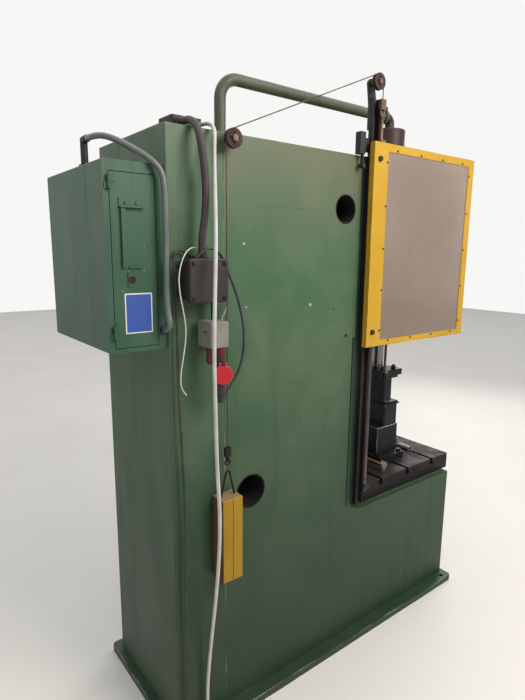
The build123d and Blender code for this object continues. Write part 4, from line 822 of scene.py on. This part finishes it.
# %% The cords
cords = {
    "supply_conduit": (0.022, 0.459, "medium", conduit_rubber, "black_rubber", [
        (-0.19, 0.32, 2.074), (-0.226, 0.32, 2.074), (-0.262, 0.321, 2.062), (-0.288, 0.322, 2.036),
        (-0.3, 0.32, 2.0), (-0.302, 0.311, 1.935), (-0.3, 0.305, 1.86), (-0.294, 0.307, 1.788),
        (-0.29, 0.316, 1.736), (-0.29, 0.316, 1.69)]),
    "white_cable": (0.012, 2.123, "medium", white_rubber, "white_rubber", [
        (-0.19, 0.258, 2.072), (-0.226, 0.258, 2.072), (-0.262, 0.256, 2.06), (-0.285, 0.264, 2.033),
        (-0.294, 0.272, 1.998), (-0.302, 0.277, 1.938), (-0.332, 0.294, 1.83), (-0.365, 0.314, 1.71),
        (-0.393, 0.337, 1.57), (-0.408, 0.351, 1.4), (-0.41, 0.349, 1.23), (-0.403, 0.341, 1.06),
        (-0.386, 0.32, 0.89), (-0.358, 0.307, 0.72), (-0.326, 0.301, 0.55), (-0.297, 0.301, 0.39),
        (-0.279, 0.304, 0.25), (-0.271, 0.306, 0.15), (-0.271, 0.306, 0.05)]),
    "corner_cable": (0.008, 1.687, "medium", black_rubber, "black_rubber", [
        (-0.267, 0.35, 1.6859), (-0.267, 0.36, 1.6943), (-0.267, 0.372, 1.6979), (-0.267, 0.385, 1.6949),
        (-0.267, 0.394, 1.6849), (-0.267, 0.398, 1.6709), (-0.267, 0.397, 1.6439), (-0.266, 0.393, 1.5899),
        (-0.267, 0.392, 1.4859), (-0.269, 0.393, 1.3709), (-0.269, 0.392, 1.2559), (-0.27, 0.388, 1.1409),
        (-0.269, 0.383, 1.0259), (-0.27, 0.38, 0.9109), (-0.268, 0.379, 0.7959), (-0.269, 0.382, 0.6809),
        (-0.267, 0.384, 0.5659), (-0.268, 0.383, 0.4459), (-0.27, 0.381, 0.3259), (-0.271, 0.38, 0.2159),
        (-0.271, 0.38, 0.05)]),
    "plug_cable": (0.009, 0.535, "medium", black_rubber, "black_rubber", [
        (-0.307, 0.332, 1.6859), (-0.307, 0.3159, 1.6994), (-0.307, 0.295, 1.705), (-0.307, 0.274, 1.697),
        (-0.307, 0.257, 1.68), (-0.308, 0.241, 1.645), (-0.312, 0.219, 1.598), (-0.318, 0.206, 1.553),
        (-0.325, 0.194, 1.499), (-0.331, 0.19, 1.444), (-0.334, 0.194, 1.39), (-0.334, 0.205, 1.339),
        (-0.334, 0.2357, 1.2887), (-0.334, 0.2598, 1.2646)]),
    "thin_wire": (0.0035, 0.865, "limp", cream_sheath, "white_rubber", [
        (-0.3, 0.261, 1.464), (-0.3, 0.25, 1.464), (-0.291, 0.244, 1.468), (-0.278, 0.24, 1.477),
        (-0.27, 0.232, 1.491), (-0.27, 0.219, 1.51), (-0.27, 0.213, 1.54), (-0.27, 0.215, 1.578),
        (-0.27, 0.217, 1.62), (-0.27, 0.219, 1.66), (-0.27, 0.232, 1.682), (-0.27, 0.249, 1.698),
        (-0.27, 0.269, 1.704), (-0.271, 0.293, 1.703), (-0.272, 0.319, 1.704), (-0.287, 0.343, 1.705),
        (-0.306, 0.365, 1.702), (-0.322, 0.388, 1.691), (-0.33, 0.407, 1.665), (-0.33, 0.417, 1.623),
        (-0.33, 0.414, 1.575), (-0.33, 0.404, 1.527), (-0.33, 0.396, 1.479), (-0.33, 0.399, 1.431),
        (-0.33, 0.408, 1.385), (-0.33, 0.416, 1.343), (-0.33, 0.418, 1.313), (-0.33, 0.412, 1.291),
        (-0.33, 0.399, 1.275)]),
    "cabinet_hose": (0.018, 0.763, "medium", grey_hose, "grey_hose", [
        (-0.065, 0.562, 2.014), (-0.105, 0.562, 2.014), (-0.147, 0.548, 2.012), (-0.185, 0.525, 1.998),
        (-0.219, 0.496, 1.975), (-0.248, 0.458, 1.95), (-0.262, 0.425, 1.916), (-0.266, 0.42, 1.86),
        (-0.267, 0.42, 1.79), (-0.266, 0.42, 1.704), (-0.265, 0.421, 1.624), (-0.268, 0.423, 1.564),
        (-0.275, 0.424, 1.516), (-0.288, 0.424, 1.482), (-0.268, 0.424, 1.462), (-0.248, 0.424, 1.462)]),
}
for name, (diameter, length, stiffness, material, slot, route) in cords.items():
    curve = cord_curve(f"cord_{name}", route, diameter)
    curve.data.materials.append(material)
    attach(curve, "frame")
    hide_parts(name)
    print(f"{name}: {length} m long, {diameter * 1000:.1f} mm thick, {len(route)} points")

# %% [markdown]
# ## Wire ropes
#
# The guard hangs on a thin wire rope that runs over two wheels to a counterweight. A smooth tube
# with a striped bump would look right from afar, but its outline would stay smooth up close. Thin
# tubes wound round the line give the outline too, and six sides are enough for each.
#
# A rope is six strands laid round its centre line c(s). Strand k of radius r at arc length s, with
# lay length L, lies at  c(s) + r (n(s) cos a + b(s) sin a),  a = 2 pi (s / L + k / 6). The normals
# n and b are carried along the line without twist. Normals found anew at each point could flip.

# %% Points and normals along a line
def sampled(route, spacing):
    """Points at even spacing on a polyline, found by how far along it they lie."""
    points = np.array(route, float)
    steps = np.linalg.norm(np.diff(points, axis=0), axis=1)
    total = np.concatenate([[0], np.cumsum(steps)])
    wanted = np.linspace(0, total[-1], max(2, int(total[-1] / spacing)))
    return np.stack([np.interp(wanted, total, points[:, k]) for k in range(3)], axis=1)


def carried_normals(points):
    """Two normals n and b at each point of a line. Each n is the last one less its part along the
    tangent t, n - t (n . t), brought to length 1, and b = t x n. As each n needs the last one, the
    loop runs over the line's points."""
    tangents = np.gradient(points, axis=0)
    tangents /= np.linalg.norm(tangents, axis=1)[:, None]
    normal = np.cross(tangents[0], [1.0, 0.0, 0.0])
    normals = []
    for tangent in tangents:
        normal = normal - tangent * (normal @ tangent)
        normal /= np.linalg.norm(normal)
        normals.append(normal)
    normals = np.array(normals)
    return normals, np.cross(tangents, normals)


# %% [markdown]
# A tube is a ring carried along a line: its two parameters are the place on the line and the angle
# round it. All its points are one array, and each face joins two neighbours on a ring to the same
# two on the next ring.

# %% Tubes and meshes
def tube(points, radius, sides, turn=0.0):
    """Vertices and faces of a closed tube: at angle a, a point lies at c + r (n cos a + b sin a)."""
    first, second = carried_normals(points)
    angles = turn + 2 * math.pi * np.arange(sides) / sides
    ring = first[:, None, :] * np.cos(angles)[None, :, None]
    ring = ring + second[:, None, :] * np.sin(angles)[None, :, None]
    vertices = (points[:, None, :] + radius * ring).reshape(-1, 3)
    rows = len(points)
    i, j = np.meshgrid(np.arange(rows - 1), np.arange(sides), indexing="ij")
    here, after = i * sides, (j + 1) % sides
    quads = np.stack([here + j, here + after, here + sides + after, here + sides + j], axis=-1)
    faces = [tuple(q) for q in quads.reshape(-1, 4).tolist()]
    faces.append(tuple(reversed(range(sides))))
    faces.append(tuple(range((rows - 1) * sides, rows * sides)))
    return vertices, faces


def mesh_piece(name, parts, material, smooth=True):
    """One mesh object from several (vertices, faces) parts, unrotated at the origin."""
    vertices, faces, start = [], [], 0
    for part_vertices, part_faces in parts:
        vertices.append(np.asarray(part_vertices, float))
        faces += [tuple(v + start for v in face) for face in part_faces]
        start += len(part_vertices)
    mesh = bpy.data.meshes.new(name)
    mesh.from_pydata(np.concatenate(vertices).tolist(), [], faces)
    mesh.polygons.foreach_set("use_smooth", [smooth] * len(mesh.polygons))
    mesh.materials.append(material)
    mesh.update()
    piece = bpy.data.objects.new(name, mesh)
    bpy.context.scene.collection.objects.link(piece)
    return piece


# %% [markdown]
# The strands are pressed a little into a core, so that no light shows through the rope. The core
# and the strands are tubes in one mesh, because they move as one.

# %% A stranded rope
rope_diameter = 0.004
lay_length = 0.026
strands = 6
sides = 6


def stranded(name, line, material):
    """A core and six strands, each a tube round  c + reach (n cos a + b sin a)."""
    strand = rope_diameter / 3
    reach = rope_diameter / 2 - strand / 2
    first, second = carried_normals(line)
    along = np.concatenate([[0], np.cumsum(np.linalg.norm(np.diff(line, axis=0), axis=1))])
    parts = [tube(line, rope_diameter / 5, sides)]
    for k in range(strands):
        angle = 2 * math.pi * (along / lay_length + k / strands)
        aside = first * np.cos(angle)[:, None] + second * np.sin(angle)[:, None]
        parts.append(tube(line + reach * aside, strand / 2, sides))
    return mesh_piece(name, parts, material)


# %% [markdown]
# Two stretches hang straight down, one to the guard and one to the counterweight. Each could ride
# on one body, but then it would come off the other when the guard slides. Their lower ends move
# with what hangs on them and their upper ends stay at the wheels; here each is built once between
# its two ends as they stand at rest, and is joined to no body.

# %% The two hanging ropes
rope_spacing = 0.0025


def rope_ends(node):
    """The middle of a CAD rope's lower and upper end."""
    low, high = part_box(node)
    x, y = (low.x + high.x) / 2, (low.y + high.y) / 2
    return (x, y, low.z), (x, y, high.z)


rope_steel = steel("rope_steel", srgb(96, 84, 74), srgb(54, 42, 34), stained=0.6, base=0.4,
                   metallic=0.85)
for node, body in (("rope_to_guard", "guard"), ("rope_to_weight", "weight")):
    bottom, top = rope_ends(node)
    rope = stranded(f"strand_{node}", sampled([bottom, top], rope_spacing), rope_steel)
    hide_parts(node)
    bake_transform(rope)
    print(f"{node}: {top[2] - bottom[2]:.3f} m long, {len(rope.data.polygons)} faces")

# %% [markdown]
# The stretch over the wheels starts at the front side of the front wheel, bends round it, runs
# straight down to the rear wheel and bends round that to its rear side. Each bend is an arc about
# the wheel's centre that ends where the straight run touches it. The wheels are equal, so the run
# is parallel to the line between their centres and touches both at the same angle.

# %% The rope over the wheels
rope_x = -0.288
front_wheel = (-0.440, 2.305)
rear_wheel = (0.200, 2.027)
groove_radius = 0.026
arc_points = 16


def groove(wheel, start, end):
    """An arc in a wheel's groove: (y, z) = centre + radius (cos a, sin a), from start to end."""
    angles = np.linspace(start, end, arc_points)
    y = wheel[0] + groove_radius * np.cos(angles)
    z = wheel[1] + groove_radius * np.sin(angles)
    return np.stack([np.full(arc_points, rope_x), y, z], axis=1)


def over_pulleys():
    """Centre line of the rope from the front wheel's front, over both, to the rear one's rear."""
    slope = math.atan2(rear_wheel[1] - front_wheel[1], rear_wheel[0] - front_wheel[0])
    touch = math.pi / 2 + slope
    return np.concatenate([groove(front_wheel, math.pi, touch), groove(rear_wheel, touch, 0)])


rope = stranded("strand_over_pulleys", sampled(over_pulleys(), rope_spacing), rope_steel)
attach(rope, "frame")
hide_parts("rope_over_pulleys")
print("rope over the wheels:", len(rope.data.polygons), "faces")

# %% [markdown]
# ## The guard's woven mesh
#
# The guard's frame holds a woven wire mesh. A sheet with a pattern of holes in its alpha would be
# lighter, but it has no thickness and no crossings to catch the light. As there are many wires,
# each has three sides only.
#
# Upright and level wires pass over and under each other: a wire's offset alternates by half a
# wire at each crossing, in opposite phase for its neighbours.

# %% Places of the wires
mesh_wire = 0.0015
mesh_pitch = 0.0066
mesh_margin = 0.002
low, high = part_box("guard_mesh")
mesh_x = (low.x + high.x) / 2
columns = int((high.y - low.y) / mesh_pitch)
rows = int((high.z - low.z) / mesh_pitch)
wire_y = np.linspace(low.y + mesh_margin, high.y - mesh_margin, columns)
wire_z = np.linspace(low.z + mesh_margin, high.z - mesh_margin, rows)
print("mesh:", columns, "upright and", rows, "level wires")


# %% Weaving
def woven(fixed_values, run_values, upright):
    """Wires along one direction. At crossing i, wire k lies half a wire out of the mesh's plane,
    to the one side where i + k is even and to the other where it is odd."""
    parts = []
    for k, fixed in enumerate(fixed_values):
        sign = np.where((np.arange(len(run_values)) + k) % 2 == 0, 1.0, -1.0)
        x = mesh_x + sign * mesh_wire * 0.5 * (1 if upright else -1)
        y = np.full(len(run_values), fixed) if upright else run_values
        z = run_values if upright else np.full(len(run_values), fixed)
        parts.append(tube(np.stack([x, y, z], axis=1), mesh_wire / 2, 3, turn=math.pi / 6))
    return parts


mesh_zinc = steel("mesh_zinc", srgb(150, 132, 118), srgb(104, 88, 76), stained=0.4, base=0.5,
                  metallic=0.75)
warp = mesh_piece("mesh_upright_wires", woven(wire_y, wire_z, True), mesh_zinc)
weft = mesh_piece("mesh_level_wires", woven(wire_z, wire_y, False), mesh_zinc)
for piece in (warp, weft):
    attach(piece, "guard")
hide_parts("guard_mesh")

# %% [markdown]
# ## The bare sign on the cabinet door
#
# A thin blue plate with a white border, and nothing on it. The border could be a raised rim, but it
# is only a change of colour on the real plate, so the material makes it from the distance to the
# nearest edge. The plate lies 0.3 mm clear of the door's face, and the border is the part of it
# that lies within 3.6 mm of an edge.

# %% The plate
sign_centre = (-0.2383, 0.4985, 1.5165)
sign_width = 0.084
sign_height = 0.116
sign_thickness = 0.0012
sign_corner = 0.003
corner_points = 6
square_share, drawn_in = 0.7, 0.6


def rounded_plate(name, centre, width, height, corner, thickness, material):
    """A flat plate in the YZ plane. Its outline is each corner's centre plus radius (cos a, sin a),
    for a once round. Three rings of it stand at growing depth: the wall is square for a share of
    the thickness, and the last ring is drawn in a little, which softens the front edge."""
    turns = np.repeat(np.arange(4), corner_points)
    angles = turns * np.pi / 2 + np.tile(np.linspace(0, np.pi / 2, corner_points), 4)
    sides_of = np.array([(1, 1), (-1, 1), (-1, -1), (1, -1)])[turns]
    middles = sides_of * np.array([width / 2 - corner, height / 2 - corner])
    outline = middles + corner * np.stack([np.cos(angles), np.sin(angles)], axis=1)
    depths = thickness * np.array([0.0, square_share, 1.0])
    scales = np.array([1.0, 1.0, 1.0 - drawn_in * thickness / width])
    rings, count = len(depths), len(outline)
    vertices = np.empty((rings, count, 3))
    vertices[:, :, 0] = centre[0] - depths[:, None]
    vertices[:, :, 1:] = centre[1:] + scales[:, None, None] * outline
    i, j = np.meshgrid(np.arange(rings - 1), np.arange(count), indexing="ij")
    here, after = i * count + j, i * count + (j + 1) % count
    quads = np.stack([here, here + count, after + count, after], axis=-1)
    faces = [tuple(q) for q in quads.reshape(-1, 4).tolist()]
    faces.append(tuple(range(count)))
    faces.append(tuple(reversed(range((rings - 1) * count, rings * count))))
    return mesh_piece(name, [(vertices.reshape(-1, 3), faces)], material, smooth=False)


# %% [markdown]
# The distance to the nearest edge is the smaller of two, each to the nearer of two opposite edges.
# The plate's place is known in the shader as well, because its object sits at the origin.

# %% The border and the blue
border_from, border_to = 0.0034, 0.0038


def inset(tree, value, centre, size):
    """The distance from the nearer of two opposite edges."""
    to_low = less(tree, value, centre - size / 2)
    return calc(tree, "MINIMUM", to_low, less(tree, centre + size / 2, value))


material, tree, shader = start_material("sign_blue", coat=0.3, coat_roughness=0.2)
where = place(tree)
at = split(tree, where)
to_side = inset(tree, at[1], sign_centre[1], sign_width)
to_end = inset(tree, at[2], sign_centre[2], sign_height)
nearest = calc(tree, "MINIMUM", to_side, to_end)
border = inverse(tree, step(tree, nearest, border_from, border_to))
dust = noise(tree, where, 40.0, 5.0, 0.6)
blue = mix(tree, times(tree, dust, 0.25), srgb(28, 66, 150), srgb(70, 96, 150))
white = mix(tree, times(tree, dust, 0.3), srgb(214, 214, 210), srgb(170, 168, 158))
tree.links.new(mix(tree, border, blue, white), shader.inputs["Base Color"])
tree.links.new(plus(tree, 0.28, times(tree, dust, 0.25)), shader.inputs["Roughness"])
sign = rounded_plate("door_sign", sign_centre, sign_width, sign_height, sign_corner,
                     sign_thickness, material)
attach(sign, "door")
print("sign:", len(sign.data.vertices), "vertices")

# %% [markdown]
# ## Studio
#
# The press stands on a plain pale floor. A curved backdrop would hide the horizon, but it would
# stand in the way of the views from behind, so the floor is one large flat face, which keeps the
# press's shadow.

# %% Floor
floor_reach = 14
floor_corners = [(-1, -1), (1, -1), (1, 1), (-1, 1)]
floor_mesh = bpy.data.meshes.new("floor")
floor_mesh.from_pydata([(x * floor_reach, y * floor_reach, 0) for x, y in floor_corners], [],
                       [(0, 1, 2, 3)])
floor = bpy.data.objects.new("floor", floor_mesh)
bpy.context.scene.collection.objects.link(floor)
material, tree, shader = start_material("floor")
shade = noise(tree, place(tree), 1.5, 3.0, 0.5)
pale = mix(tree, shade, srgb(214, 212, 208), srgb(226, 224, 220))
tree.links.new(pale, shader.inputs["Base Color"])
shader.inputs["Roughness"].default_value = 0.8
floor_mesh.materials.append(material)

# %% [markdown]
# A white background could come from more light, but that would wash the press out. The world is
# white only to the camera, to gloss and through the pane, and a dim grey as a light.

# %% World
light_grey = (0.12, 0.12, 0.122, 1)
seen_white = (0.93, 0.93, 0.92, 1)
world = bpy.data.worlds.new("studio")
world.use_nodes = True
bpy.context.scene.world = world
tree = world.node_tree
background = next(n for n in tree.nodes if n.type == "BACKGROUND")
path = add(tree, "LightPath").outputs
mirrored = calc(tree, "MAXIMUM", path["Is Glossy Ray"], path["Is Transmission Ray"])
seen = calc(tree, "MAXIMUM", path["Is Camera Ray"], mirrored)
tree.links.new(mix(tree, seen, light_grey, seen_white), background.inputs["Color"])
background.inputs["Strength"].default_value = 1.0

# %% [markdown]
# A warm key lamp stands on the guard's side, a high and very wide one softens the whole scene, and
# two weaker ones fill in from behind and from the front. Large square lamps give soft shadows, as
# the roof lights of a hall do.

# %% Lamps
def lamp(name, place_m, target, size, watts, color):
    """A square soft lamp aimed at a point."""
    data = bpy.data.lights.new(name, "AREA")
    data.shape = "SQUARE"
    data.size = size
    data.energy = watts
    data.color = color
    light = bpy.data.objects.new(name, data)
    light.matrix_world = Matrix.Translation(place_m) @ look(Vector(target) - Vector(place_m), 0)
    bpy.context.scene.collection.objects.link(light)
    print(f"{name} lamp: {watts} W, {size} m wide")


lamp("key", (-2.7, -0.9, 3.3), (-0.2, -0.1, 1.7), 1.8, 112.0, (1.0, 0.94, 0.87))
lamp("fill", (-1.0, 4.2, 2.2), (0, 0, 1.2), 2.4, 6.0, (0.93, 0.96, 1.0))
lamp("sky", (0, 0, 14), (0, -1, 0), 40.0, 4400.0, (1.0, 0.99, 0.97))
lamp("front", (1.5, -4.5, 2.8), (0, -0.6, 1.1), 2.4, 60.0, (1.0, 0.98, 0.95))

bpy.context.scene.view_settings.view_transform = "Standard"
